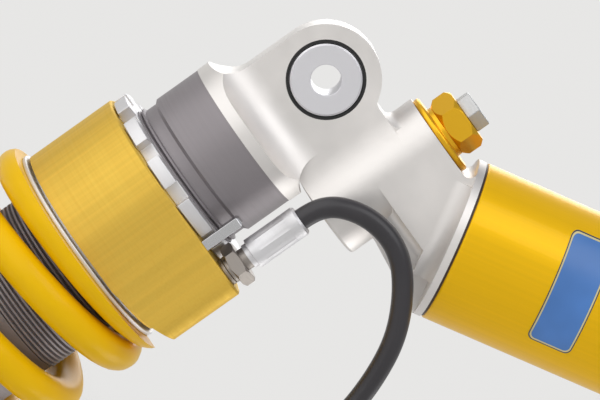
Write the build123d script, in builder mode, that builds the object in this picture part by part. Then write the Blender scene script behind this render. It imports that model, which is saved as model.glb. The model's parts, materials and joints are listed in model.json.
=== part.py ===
from build123d import *
from math import cos, pi, radians, sin, sqrt, tan
import os

# Rear shock absorber of a motorcycle, in millimetres.
# The origin is the centre of the upper eye. +Z runs up the damper from the lower eye to the upper eye,
# +X points to the reservoir, and the eyes are bored along Y.

# Eyes and bearings
BOLT_BORE = 10.0
SPACER_HUB_WALL = 1.0
BALL_DIAMETER = 20.0
BALL_LAND = 0.6
RACE_WALL = 3.0
RACE_WIDTH = 12.0
EYE_WALL = 5.0
EYE_THICKNESS = 22.0
SPACER_RIM = 1.3
SPACER_PROUD = 1.0
SPACER_CHAMFER = 0.4
SEAL_INSET = 0.3
SEAL_GAP = 0.3

# Shaft and body tube
SHAFT_DIAMETER = 16.0
SHAFT_BORE = 7.0
TUBE_BORE = 46.0
TUBE_WALL = 2.8
THREAD_DEPTH = 0.9
THREAD_PITCH = 1.5
THREAD_LENGTH = 74.0
THREAD_STEP = 0.5
CREST_START = 0.25
CREST_END = 0.65
ROOT_AT = 0.95
COLLAR_LENGTH = 16.4
NECK_DEPTH = 1.1
NECK_LENGTH = 5.0
TUBE_LENGTH = 147.4
TUBE_CHAMFER = 0.8
DAMPER_STROKE = 60.0

# Head
FLANGE_PROUD = 0.2
FLANGE_THICKNESS = 4.0
EYE_TO_FLANGE = 32.6
COVE_RADIUS = 12.9
SIDE_COVE_RADIUS = 10.5
SPIGOT_LENGTH = 12.0
SPIGOT_WALL = 5.0
WEB_TOP = 8.5
WEB_BOTTOM = -26.0
WEB_NOTCH_WIDTH = 3.8
WEB_NOTCH_RADIUS = 3.0
WEB_COVE_REACH = 3.4
WEB_BLEND_RADIUS = 20.0

# Compression valve, from the screw in the middle outwards
LOW_SPEED_DIAMETER = 6.0
LOW_SPEED_LENGTH = 12.0
SLOT_WIDTH = 1.2
SLOT_DEPTH = 1.5
ADJUSTER_WALL = 1.5
ADJUSTER_STEM_LENGTH = 14.0
ADJUSTER_HEX_WALL = 3.0
ADJUSTER_HEX_HEIGHT = 4.7
CARTRIDGE_WALL = 3.0
CARTRIDGE_LENGTH = 24.0
CARTRIDGE_HEX_STEP = 1.7
CARTRIDGE_HEX_HEIGHT = 7.8
CARTRIDGE_HEX_TURN = -2.0
CORNER_TURNING = 50.0
VALVE_OIL_GAP = 2.5
VALVE_BORE_DEPTH = 34.0
VALVE_PISTON_LENGTH = 8.0
CAP_INSET = 1.05
CAP_THICKNESS = 2.1
CAP_STEP_WALL = 1.55
CAP_STEP = 1.7
CAP_EDGE = 0.8

# Valve boss and the block between it and the reservoir
BOSS_WALL = 5.0
BOSS_TOP = 18.3
BOSS_BOTTOM = -26.5
BOSS_EDGE = 1.2
PASSAGE_DIAMETER = 7.0
BLOCK_LOWER_EDGE = -6.2
BLOCK_CORNER = 4.0
BLOCK_LENGTH = 30.3
POCKET_DEPTH = 5.0
POCKET_COVE = 3.5
FLANGE_COVE = 6.0
UNDERSIDE_Z = -17.4
GROOVE_RADIUS = 2.8
FLANGE_EDGE = 1.0
BLOCK_OVERLAP = 1.0
INLET_X = 4.0

# Reservoir
RESERVOIR_Z = 3.0
RESERVOIR_RISE = 31.0
RESERVOIR_BORE = 48.0
RESERVOIR_WALL = 3.3
RESERVOIR_LENGTH = 104.0
RESERVOIR_FLANGE = 2.5
RESERVOIR_SPIGOT = 10.0
SEAM_GAP = 0.8
SEAM_DEPTH = 0.5
FLOATING_PISTON_AT = 48.0
FLOATING_PISTON_LENGTH = 22.0
FLOATING_PISTON_WALL = 6.0
END_CAP_THICKNESS = 12.0
END_CAP_INSET = 3.0
END_CAP_RIM = 6.0
END_CAP_RECESS = 4.0
CLIP_THICKNESS = 1.2
CLIP_DEPTH = 0.8
CLIP_WIDTH = 2.4
GAS_VALVE_DIAMETER = 7.7
GAS_VALVE_HEX_WALL = 4.3
GAS_VALVE_HEX_HEIGHT = 4.0
GAS_VALVE_LENGTH = 12.0
GAS_CAP_WALL = 1.4

# Preload housing
HOUSING_TOP = -61.2
HOUSING_ROOF = 7.9
HOUSING_SLEEVE = 1.5
HOUSING_WALL = 3.23
HOUSING_CHAMFER = 0.6
CHAMBER_WIDTH = 3.62
CHAMBER_SPACE = 6.5
THREAD_CLEARANCE = 0.1
BOSS_SLOPES = ((14.4, 11.0), (21.2, 20.3))

# Lock ring and its key
RING_WIDTH = 7.4
RING_THICKNESS = 4.9
RING_NOTCHES = 12
RING_NOTCH_WIDTH = 6.5
RING_NOTCH_DEPTH = 4.8
RING_FIRST_NOTCH = 1.0
RING_FOOT_STEP = 2.0
RING_FOOT_HEIGHT = 0.5
KEY_NOTCH_ANGLE = 36.3
KEY_X = 19.3
KEY_FRONT_Y = -32.8
KEY_WIDTH = 3.4
KEY_DEPTH = 7.8
KEY_LENGTH = 14.1
KEY_CHAMFER = 0.7

# Hose, its fittings and the boss that it starts from
HOSE_DIAMETER = 7.0
HOSE_BEND_SHARE = 0.45
FITTING_ANGLE = -39.17
FITTING_OUT = 5.47
FITTING_BOSS = 16.0
PORT_DIAMETER = 3.0
PORT_SPARE = 0.5
UNION_THREAD = 5.0
UNION_THREAD_LENGTH = 5.0
UNION_HEX = 13.0
UNION_HEX_HEIGHT = 4.2
UNION_HEX_TURN = 50.0
UNION_TURNING = 35.0
UNION_NECK = 7.4
UNION_NECK_LENGTH = 2.1
WASHER_RIM = 2.2
WASHER_THICKNESS = 1.3
FERRULE_WALL = 1.7
FERRULE_LENGTH = 20.5
FERRULE_LIP_STEP = 1.0
FERRULE_LIP_LENGTH = 1.5

# Ring piston and spring seat
PRELOAD_TRAVEL = 8.0
RING_PISTON_HELD = 10.8
RING_PISTON_GROOVE = 2.0
SEAT_PROUD = 1.15
SEAT_THICKNESS = 1.4
SEAT_LIP = 4.0
SEAT_LIP_WALL = 1.9
SEAT_GAP = 1.0
SLIDE_GAP = 0.4

# Main spring
WIRE_DIAMETER = 12.0
COIL_GAP = 0.2
SPRING_PITCH = 24.8
PITCH_BLEND = 0.3
END_TURNS = 1.0
TIP_THICKNESS = 4.0
TIP_ANGLE = -12.0
POINTS_PER_TURN = 4

# Piston, seal head and stops
STUD_STEP = 2.0
STUD_TIP = 1.5
METERING_GAP = 0.5
PISTON_LENGTH = 14.0
PISTON_GAP = 0.4
PISTON_BAND = 8.0
PISTON_PORTS = 6
PISTON_PORT_DIAMETER = 5.0
PISTON_PORT_INSET = 8.0
SHIM_INSET = 4.0
SHIM_STEP = 4.0
SHIM_THICKNESS = 0.4
SHIM_COUNT = 5
BACK_PLATE_RIM = 5.0
BACK_PLATE_THICKNESS = 1.5
PISTON_NUT_WALL = 3.5
PISTON_NUT_HEIGHT = 6.0
TOPOUT_WALL = 7.0
TOPOUT_LENGTH = 12.0
STOP_GAP = 0.3
SEAL_HEAD_INSET = 2.4
SEAL_HEAD_WEB = 1.0
BUSH_WALL = 1.5
BUSH_LENGTH = 8.0
SHAFT_SEAL_WALL = 4.0
SHAFT_SEAL_LENGTH = 5.0
WIPER_WALL = 5.0
WIPER_LENGTH = 4.0
WIPER_LIP = 1.4
BUMP_WALL = 9.0
BUMP_HEIGHT = 9.9
BUMP_GAP = 0.6

# Lower eye, lower spring seat and rebound wheel
CUP_WALL = 3.2
CUP_BASE = 10.0
CUP_RIM = 8.0
CUP_LIP = 5.0
CUP_LIP_WALL = 4.0
CUP_SPIGOT_WALL = 7.0
CUP_SPIGOT_HEIGHT = 14.0
YOKE_DIAMETER = 44.0
YOKE_FLANGE_STEP = 2.0
YOKE_FLANGE_THICKNESS = 3.0
YOKE_ROOF = 4.6
YOKE_FLOOR = 2.6
LUG_NECK = 3.5
LOWER_COVE_RADIUS = 8.0
LOWER_SIDE_COVE = 4.0
WHEEL_DIAMETER = 27.0
WHEEL_HEIGHT = 8.0
WHEEL_GROOVES = 16
WHEEL_GROOVE_DIAMETER = 2.0
WHEEL_PIN = 6.0

# Remote preload adjuster
REMOTE_BORE = 22.0
REMOTE_WALL = 4.0
REMOTE_ROOF = 9.0
REMOTE_PLUG = 6.0
REMOTE_PISTON_LENGTH = 24.0
REMOTE_TRAVEL = 14.0
REMOTE_SPARE = 4.6
KNOB_PROUD = 2.0
KNOB_HEIGHT = 18.0
KNOB_SCALLOPS = 12
SCALLOP_DIAMETER = 8.0
SCALLOP_DEPTH = 1.6
SPINDLE_DIAMETER = 8.0
SPINDLE_LENGTH = 20.0
BRACKET_WIDTH = 12.0
BRACKET_BAND = 3.0
BRACKET_PLATE = 3.0
BRACKET_HOLE = 6.4
BRACKET_SPACING = 48.0
BRACKET_EAR = 7.0

# Rings and fits
O_RING = 2.0
FIT = 0.05

# Diameters that follow from a bore or a core and the walls round it
BALL_BORE = BOLT_BORE + 2 * SPACER_HUB_WALL
BALL_WIDTH = sqrt(BALL_DIAMETER**2 - (BALL_BORE + 2 * BALL_LAND) ** 2)
RACE_DIAMETER = BALL_DIAMETER + 2 * RACE_WALL
SPACER_DIAMETER = RACE_DIAMETER - 2 * SPACER_RIM
EYE_RADIUS = RACE_DIAMETER / 2 + EYE_WALL
BEARING_WIDTH = EYE_THICKNESS + 2 * SPACER_PROUD
SEAL_THICKNESS = EYE_THICKNESS / 2 - SEAL_INSET - RACE_WIDTH / 2
STUD_DIAMETER = SHAFT_DIAMETER - 2 * STUD_STEP
METERING_ROD = SHAFT_BORE - 2 * METERING_GAP
THREAD_DIAMETER = TUBE_BORE + 2 * TUBE_WALL
NECK_DIAMETER = THREAD_DIAMETER - 2 * NECK_DEPTH
TUBE_DIAMETER = THREAD_DIAMETER - 2 * THREAD_STEP
FLANGE_DIAMETER = THREAD_DIAMETER + 2 * FLANGE_PROUD
SPIGOT_BORE = TUBE_BORE - 2 * SPIGOT_WALL
PISTON_DIAMETER = TUBE_BORE - 2 * PISTON_GAP
PISTON_PORT_CIRCLE = TUBE_BORE - 2 * PISTON_PORT_INSET
SHIM_DIAMETER = TUBE_BORE - 2 * SHIM_INSET
BACK_PLATE = SHAFT_DIAMETER + 2 * BACK_PLATE_RIM
PISTON_NUT_HEX = STUD_DIAMETER + 2 * PISTON_NUT_WALL
TOPOUT_DIAMETER = SHAFT_DIAMETER + 2 * TOPOUT_WALL
BUSH_DIAMETER = SHAFT_DIAMETER + 2 * BUSH_WALL
SHAFT_SEAL_DIAMETER = SHAFT_DIAMETER + 2 * SHAFT_SEAL_WALL
WIPER_DIAMETER = SHAFT_DIAMETER + 2 * WIPER_WALL
BUMP_DIAMETER = SHAFT_DIAMETER + 2 * BUMP_WALL
CUP_SPIGOT = SHAFT_DIAMETER + 2 * CUP_SPIGOT_WALL
YOKE_FLANGE = YOKE_DIAMETER + 2 * YOKE_FLANGE_STEP
ADJUSTER_STEM = LOW_SPEED_DIAMETER + 2 * ADJUSTER_WALL
ADJUSTER_HEX = LOW_SPEED_DIAMETER + 2 * ADJUSTER_HEX_WALL
CARTRIDGE_DIAMETER = ADJUSTER_STEM + 2 * CARTRIDGE_WALL
CARTRIDGE_HEX = CARTRIDGE_DIAMETER + 2 * CARTRIDGE_HEX_STEP
VALVE_BORE = CARTRIDGE_DIAMETER + 2 * VALVE_OIL_GAP
BOSS_DIAMETER = VALVE_BORE + 2 * BOSS_WALL
CAP_DIAMETER = BOSS_DIAMETER - 2 * CAP_INSET
CAP_STEP_DIAMETER = CARTRIDGE_DIAMETER + 2 * CAP_STEP_WALL
RESERVOIR_DIAMETER = RESERVOIR_BORE + 2 * RESERVOIR_WALL
GAS_VALVE_HEX = GAS_VALVE_DIAMETER + GAS_VALVE_HEX_WALL
GAS_CAP_DIAMETER = GAS_VALVE_DIAMETER + 2 * GAS_CAP_WALL
SLEEVE_DIAMETER = THREAD_DIAMETER + 2 * THREAD_CLEARANCE + 2 * HOUSING_SLEEVE
CHAMBER_DIAMETER = SLEEVE_DIAMETER + 2 * CHAMBER_WIDTH
HOUSING_DIAMETER = CHAMBER_DIAMETER + 2 * HOUSING_WALL
RING_DIAMETER = THREAD_DIAMETER + 2 * RING_WIDTH
SEAT_DIAMETER = HOUSING_DIAMETER + 2 * SEAT_PROUD
SEAT_LIP_DIAMETER = THREAD_DIAMETER + 2 * SLIDE_GAP + 2 * SEAT_LIP_WALL
SPRING_INSIDE = SEAT_LIP_DIAMETER + 2 * SLIDE_GAP
SPRING_MEAN_DIAMETER = SPRING_INSIDE + WIRE_DIAMETER
SPRING_OUTSIDE = SPRING_MEAN_DIAMETER + WIRE_DIAMETER
WASHER_DIAMETER = UNION_THREAD + 2 * WASHER_RIM
FERRULE_DIAMETER = HOSE_DIAMETER + 2 * FERRULE_WALL
FERRULE_LIP = FERRULE_DIAMETER - 2 * FERRULE_LIP_STEP
REMOTE_DIAMETER = REMOTE_BORE + 2 * REMOTE_WALL
KNOB_DIAMETER = REMOTE_DIAMETER + 2 * KNOB_PROUD

# Places that follow from the sizes, from the upper eye downwards
FLANGE_BOTTOM = -EYE_TO_FLANGE
FLANGE_TOP = FLANGE_BOTTOM + FLANGE_THICKNESS
SPIGOT_BOTTOM = FLANGE_BOTTOM - SPIGOT_LENGTH
TUBE_BOTTOM = FLANGE_BOTTOM - TUBE_LENGTH
RING_PISTON_LENGTH = PRELOAD_TRAVEL + RING_PISTON_HELD
HOUSING_LENGTH = HOUSING_ROOF + CHAMBER_SPACE + RING_PISTON_LENGTH - SEAT_GAP
HOUSING_BOTTOM = HOUSING_TOP - HOUSING_LENGTH
SEAT_TOP = HOUSING_BOTTOM - SEAT_GAP
SPRING_TOP = SEAT_TOP - SEAT_THICKNESS
BUMP_TOP = TUBE_BOTTOM - DAMPER_STROKE - BUMP_GAP
CUP_SPIGOT_TOP = BUMP_TOP - BUMP_HEIGHT
SHOULDER_Z = CUP_SPIGOT_TOP - CUP_SPIGOT_HEIGHT
SPRING_BOTTOM = SHOULDER_Z + CUP_BASE
SPRING_LENGTH = SPRING_TOP - SPRING_BOTTOM
YOKE_LENGTH = YOKE_ROOF + WHEEL_HEIGHT + YOKE_FLOOR + 2 * SLIDE_GAP
YOKE_BOTTOM = SHOULDER_Z - YOKE_LENGTH
WHEEL_TOP = SHOULDER_Z - YOKE_ROOF - SLIDE_GAP
WHEEL_BOTTOM = WHEEL_TOP - WHEEL_HEIGHT
LOWER_EYE_Z = YOKE_BOTTOM - LUG_NECK - EYE_RADIUS
SEAL_HEAD_BOTTOM = TUBE_BOTTOM + SEAL_HEAD_INSET
SEAL_HEAD_LENGTH = WIPER_LENGTH + SEAL_HEAD_WEB + SHAFT_SEAL_LENGTH + BUSH_LENGTH
SEAL_HEAD_TOP = SEAL_HEAD_BOTTOM + SEAL_HEAD_LENGTH
SHIM_STACK = SHIM_COUNT * SHIM_THICKNESS
BACK_PLATE_BOTTOM = SEAL_HEAD_TOP + STOP_GAP + TOPOUT_LENGTH
SHAFT_SHOULDER = BACK_PLATE_BOTTOM + BACK_PLATE_THICKNESS
PISTON_BOTTOM = SHAFT_SHOULDER + SHIM_STACK
PISTON_TOP = PISTON_BOTTOM + PISTON_LENGTH
NUT_BOTTOM = PISTON_TOP + SHIM_STACK
BOSS_X = EYE_RADIUS + WEB_NOTCH_WIDTH + BOSS_DIAMETER / 2
RESERVOIR_X = BOSS_X + BLOCK_LENGTH
CARTRIDGE_SEAT = BOSS_TOP + CAP_THICKNESS + CAP_STEP
CARTRIDGE_TOP = CARTRIDGE_SEAT + CARTRIDGE_HEX_HEIGHT
CARTRIDGE_BOTTOM = CARTRIDGE_SEAT - CARTRIDGE_LENGTH
END_CAP_OUTER = RESERVOIR_LENGTH - END_CAP_INSET
END_CAP_INNER = END_CAP_OUTER - END_CAP_THICKNESS
FITTING_RADIUS = HOUSING_DIAMETER / 2 + FITTING_OUT
FITTING_X = FITTING_RADIUS * cos(radians(FITTING_ANGLE))
FITTING_Y = FITTING_RADIUS * sin(radians(FITTING_ANGLE))
PORT_DEPTH = HOUSING_ROOF + PORT_DIAMETER + PORT_SPARE
WASHER_HEIGHT = 2 * WASHER_THICKNESS
UNION_LENGTH = WASHER_HEIGHT + UNION_HEX_HEIGHT + UNION_NECK_LENGTH
HOSE_START_Z = HOUSING_TOP + UNION_LENGTH + FERRULE_LENGTH

# The hose leaves its ferrule upwards, bends over in front of the valve boss and hangs down to the
# remote adjuster. These are the corners of its route.
HOSE_ROUTE = [
    (FITTING_X, FITTING_Y, HOSE_START_Z),
    (FITTING_X, FITTING_Y, -26.7),
    (33.4, -25.1, -20.6),
    (39.0, -25.1, -15.8),
    (45.4, -25.1, -13.0),
    (52.3, -25.1, -12.0),
    (59.3, -25.0, -13.2),
    (65.4, -24.8, -16.4),
    (71.6, -24.8, -21.1),
    (77.5, -24.6, -27.0),
    (82.2, -24.4, -33.8),
    (86.6, -24.2, -43.3),
    (89.9, -24.0, -53.5),
    (92.0, -24.0, -65.0),
    (93.0, -24.2, -80.0),
    (92.6, -24.6, -98.0),
    (93.4, -24.9, -120.0),
    (92.8, -24.7, -144.0),
    (93.0, -24.5, -168.0),
    (93.0, -24.5, -189.5),
]
REMOTE_X, REMOTE_Y, HOSE_END_Z = HOSE_ROUTE[-1]
REMOTE_TOP = HOSE_END_Z - FERRULE_LENGTH - UNION_LENGTH
REMOTE_LENGTH = REMOTE_ROOF + REMOTE_SPARE + REMOTE_TRAVEL + REMOTE_PISTON_LENGTH + SLIDE_GAP + REMOTE_PLUG
REMOTE_BOTTOM = REMOTE_TOP - REMOTE_LENGTH
REMOTE_PISTON_BOTTOM = REMOTE_BOTTOM + REMOTE_PLUG + SLIDE_GAP
KNOB_TOP = REMOTE_BOTTOM - SLIDE_GAP
BRACKET_Z = REMOTE_TOP - REMOTE_LENGTH / 2
BRACKET_FACE = REMOTE_DIAMETER / 2 + BRACKET_BAND

AXIS = Plane.XY
RESERVOIR = Plane(
    origin=(RESERVOIR_X, 0, RESERVOIR_Z),
    x_dir=(0, 1, 0),
    z_dir=(cos(radians(RESERVOIR_RISE)), 0, sin(radians(RESERVOIR_RISE))),
)
BOSS = Plane(origin=(BOSS_X, 0, 0), x_dir=(1, 0, 0), z_dir=(0, 0, 1))
FITTING = Plane(origin=(FITTING_X, FITTING_Y, 0), x_dir=(1, 0, 0), z_dir=(0, 0, 1))
REMOTE = Plane(origin=(REMOTE_X, REMOTE_Y, 0), x_dir=(1, 0, 0), z_dir=(0, 0, 1))
UPPER_EYE = Plane(origin=(0, 0, 0), x_dir=(1, 0, 0), z_dir=(0, -1, 0))
LOWER_EYE = Plane(origin=(0, 0, LOWER_EYE_Z), x_dir=(1, 0, 0), z_dir=(0, -1, 0))


def ring(plane, outer, inner, low, high, mode=Mode.ADD):
    """A ring, or a disc where inner is 0, between two heights over a plane. Sizes are diameters."""
    with BuildSketch(plane.offset(low)) as section:
        Circle(outer / 2)
        if inner > 0:
            Circle(inner / 2, mode=Mode.SUBTRACT)
    extrude(section.sketch, amount=high - low, mode=mode)


def hexagon(plane, across_flats, low, high, turn=0, mode=Mode.ADD):
    """A hexagonal prism between two heights over a plane."""
    with BuildSketch(plane.offset(low)) as section:
        RegularPolygon(across_flats / 2, 6, major_radius=False, rotation=turn)
    extrude(section.sketch, amount=high - low, mode=mode)


def turn_corners(plane, across_flats, low, high, angle):
    """Turns off both ends of a hexagonal prism's corners. The prism is alone in its part so far."""
    axis_x, axis_y = plane.origin.X, plane.origin.Y
    corner = across_flats / sqrt(3)
    flat = across_flats / 2
    slope = (corner - flat) * tan(radians(angle))
    with BuildSketch(Plane(origin=(axis_x, axis_y, 0), x_dir=(1, 0, 0), z_dir=(0, -1, 0))) as half:
        with BuildLine():
            Polyline(
                (0, low),
                (flat, low),
                (corner, low + slope),
                (corner, high - slope),
                (flat, high),
                (0, high),
                close=True,
            )
        make_face()
    revolve(half.sketch, axis=Axis((axis_x, axis_y, 0), (0, 0, 1)), mode=Mode.INTERSECT)


def beam(outline, depth, mode=Mode.ADD):
    """An outline in X and Z, extruded the same way to the front and the back."""
    with BuildSketch(Plane.XZ) as section:
        with BuildLine():
            Polyline(*outline, close=True)
        make_face()
    extrude(section.sketch, amount=depth / 2, both=True, mode=mode)


def eye_lug(eye_z, shoulder_z, cove, side_cove, limit):
    """A lug with a round end, on a shoulder, with a cove at the front, the back and both sides."""
    up = 1 if shoulder_z < eye_z else -1
    half = EYE_THICKNESS / 2
    reach = half + cove
    tip = eye_z + up * EYE_RADIUS
    side = EYE_RADIUS + side_cove
    with BuildSketch(Plane.YZ) as depth:
        with BuildLine():
            Line((-reach, shoulder_z), (reach, shoulder_z))
            RadiusArc((reach, shoulder_z), (half, shoulder_z + up * cove), up * cove)
            Line((half, shoulder_z + up * cove), (half, tip))
            Line((half, tip), (-half, tip))
            Line((-half, tip), (-half, shoulder_z + up * cove))
            RadiusArc((-half, shoulder_z + up * cove), (-reach, shoulder_z), up * cove)
        make_face()
    extrude(depth.sketch, amount=side, both=True)
    with BuildSketch(Plane.XZ) as front:
        with BuildLine():
            Line((-side, shoulder_z), (side, shoulder_z))
            RadiusArc((side, shoulder_z), (EYE_RADIUS, shoulder_z + up * side_cove), up * side_cove)
            Line((EYE_RADIUS, shoulder_z + up * side_cove), (EYE_RADIUS, eye_z))
            ThreePointArc((EYE_RADIUS, eye_z), (0, tip), (-EYE_RADIUS, eye_z))
            Line((-EYE_RADIUS, eye_z), (-EYE_RADIUS, shoulder_z + up * side_cove))
            RadiusArc((-EYE_RADIUS, shoulder_z + up * side_cove), (-side, shoulder_z), up * side_cove)
        make_face()
    extrude(front.sketch, amount=reach, both=True, mode=Mode.INTERSECT)
    low, high = sorted((shoulder_z, tip))
    ring(AXIS, limit, 0, low, high, mode=Mode.INTERSECT)


def finish(builder, label):
    """Labels a finished piece and writes it."""
    builder.part.label = label
    export_step(builder.part, f"parts/{label}.step")


os.makedirs("parts", exist_ok=True)

# Head. Its flange sits on the body tube, and a spigot goes down into the bore.
tilt = radians(RESERVOIR_RISE)
flange_back_x = RESERVOIR_X - RESERVOIR_FLANGE * cos(tilt)
flange_back_z = RESERVOIR_Z - RESERVOIR_FLANGE * sin(tilt)


def on_flange(height):
    """The X of the back face of the reservoir flange at a height."""
    return flange_back_x - (height - flange_back_z) * tan(tilt)


boss_side = BOSS_X + BOSS_DIAMETER / 2
flange_low_z = flange_back_z - (RESERVOIR_DIAMETER / 2 - FLANGE_EDGE) * cos(tilt)
block_half = BOSS_DIAMETER / 2
cove_reach = block_half + FLANGE_COVE
flange_back = Plane(
    origin=(flange_back_x, 0, flange_back_z),
    x_dir=(-cos(tilt), 0, -sin(tilt)),
    z_dir=(-sin(tilt), 0, cos(tilt)),
)
cove_low = (BLOCK_LOWER_EDGE - BLOCK_CORNER - flange_back_z) / cos(tilt)
cove_high = (BOSS_TOP - flange_back_z) / cos(tilt)
with BuildPart() as flange_cove:
    with BuildSketch(flange_back.offset(cove_low)) as cove_section:
        with BuildLine():
            Line((0, -cove_reach), (0, cove_reach))
            RadiusArc((0, cove_reach), (FLANGE_COVE, block_half), -FLANGE_COVE)
            Line((FLANGE_COVE, block_half), (FLANGE_COVE, -block_half))
            RadiusArc((FLANGE_COVE, -block_half), (0, -cove_reach), -FLANGE_COVE)
        make_face()
    extrude(cove_section.sketch, amount=cove_high - cove_low)
    # The sharp corner between the top of the boss and the flange is filled up to a rounded groove.
    corner_x = on_flange(BOSS_TOP)
    groove_reach = GROOVE_RADIUS / tan((pi / 2 - tilt) / 2)
    with BuildSketch(Plane.XZ) as groove:
        with BuildLine():
            Polyline(
                (corner_x - groove_reach, BOSS_TOP),
                (corner_x, BOSS_TOP),
                (corner_x - groove_reach * sin(tilt), BOSS_TOP + groove_reach * cos(tilt)),
                close=True,
            )
        make_face()
        with Locations((corner_x - groove_reach, BOSS_TOP + GROOVE_RADIUS)):
            Circle(GROOVE_RADIUS, mode=Mode.SUBTRACT)
    extrude(groove.sketch, amount=block_half, both=True)
    cove_end = -RESERVOIR_FLANGE - FLANGE_COVE
    ring(RESERVOIR, RESERVOIR_DIAMETER, 0, cove_end, -RESERVOIR_FLANGE, mode=Mode.INTERSECT)

# The coves at the front and the back of the eye run on under the web, where a cone turns them off.
eye_half = EYE_THICKNESS / 2
cove_top = FLANGE_TOP + COVE_RADIUS
with BuildPart() as web_cove:
    with BuildSketch(Plane.YZ) as cove_depth:
        with BuildLine():
            foot = eye_half + COVE_RADIUS
            Line((-foot, FLANGE_TOP), (foot, FLANGE_TOP))
            RadiusArc((foot, FLANGE_TOP), (eye_half, cove_top), COVE_RADIUS)
            Line((eye_half, cove_top), (-eye_half, cove_top))
            RadiusArc((-eye_half, cove_top), (-foot, FLANGE_TOP), COVE_RADIUS)
        make_face()
    extrude(cove_depth.sketch, amount=BOSS_X)
    with BuildSketch(Plane.XZ) as cone:
        with BuildLine():
            Polyline(
                (0, FLANGE_TOP),
                (FLANGE_DIAMETER / 2, FLANGE_TOP),
                (FLANGE_DIAMETER / 2 + WEB_COVE_REACH, cove_top),
                (0, cove_top),
                close=True,
            )
        make_face()
    revolve(cone.sketch, axis=Axis.Z, mode=Mode.INTERSECT)

# The faces of the web run into the boss over a wide radius.
blend_y = eye_half + WEB_BLEND_RADIUS
blend_span = BOSS_DIAMETER / 2 + WEB_BLEND_RADIUS
blend_x = BOSS_X - sqrt(blend_span**2 - blend_y**2)
share = BOSS_DIAMETER / 2 / blend_span
blend_end = (BOSS_X - share * (BOSS_X - blend_x), share * blend_y)
with BuildPart() as web_blend:
    with BuildSketch(AXIS.offset(WEB_BOTTOM)) as wedges:
        with BuildLine():
            Polyline(blend_end, (BOSS_X, 0), (blend_x, 0), (blend_x, eye_half))
            RadiusArc((blend_x, eye_half), blend_end, -WEB_BLEND_RADIUS)
        make_face()
        mirror(about=Plane.XZ)
    extrude(wedges.sketch, amount=WEB_TOP - WEB_BOTTOM)

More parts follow.
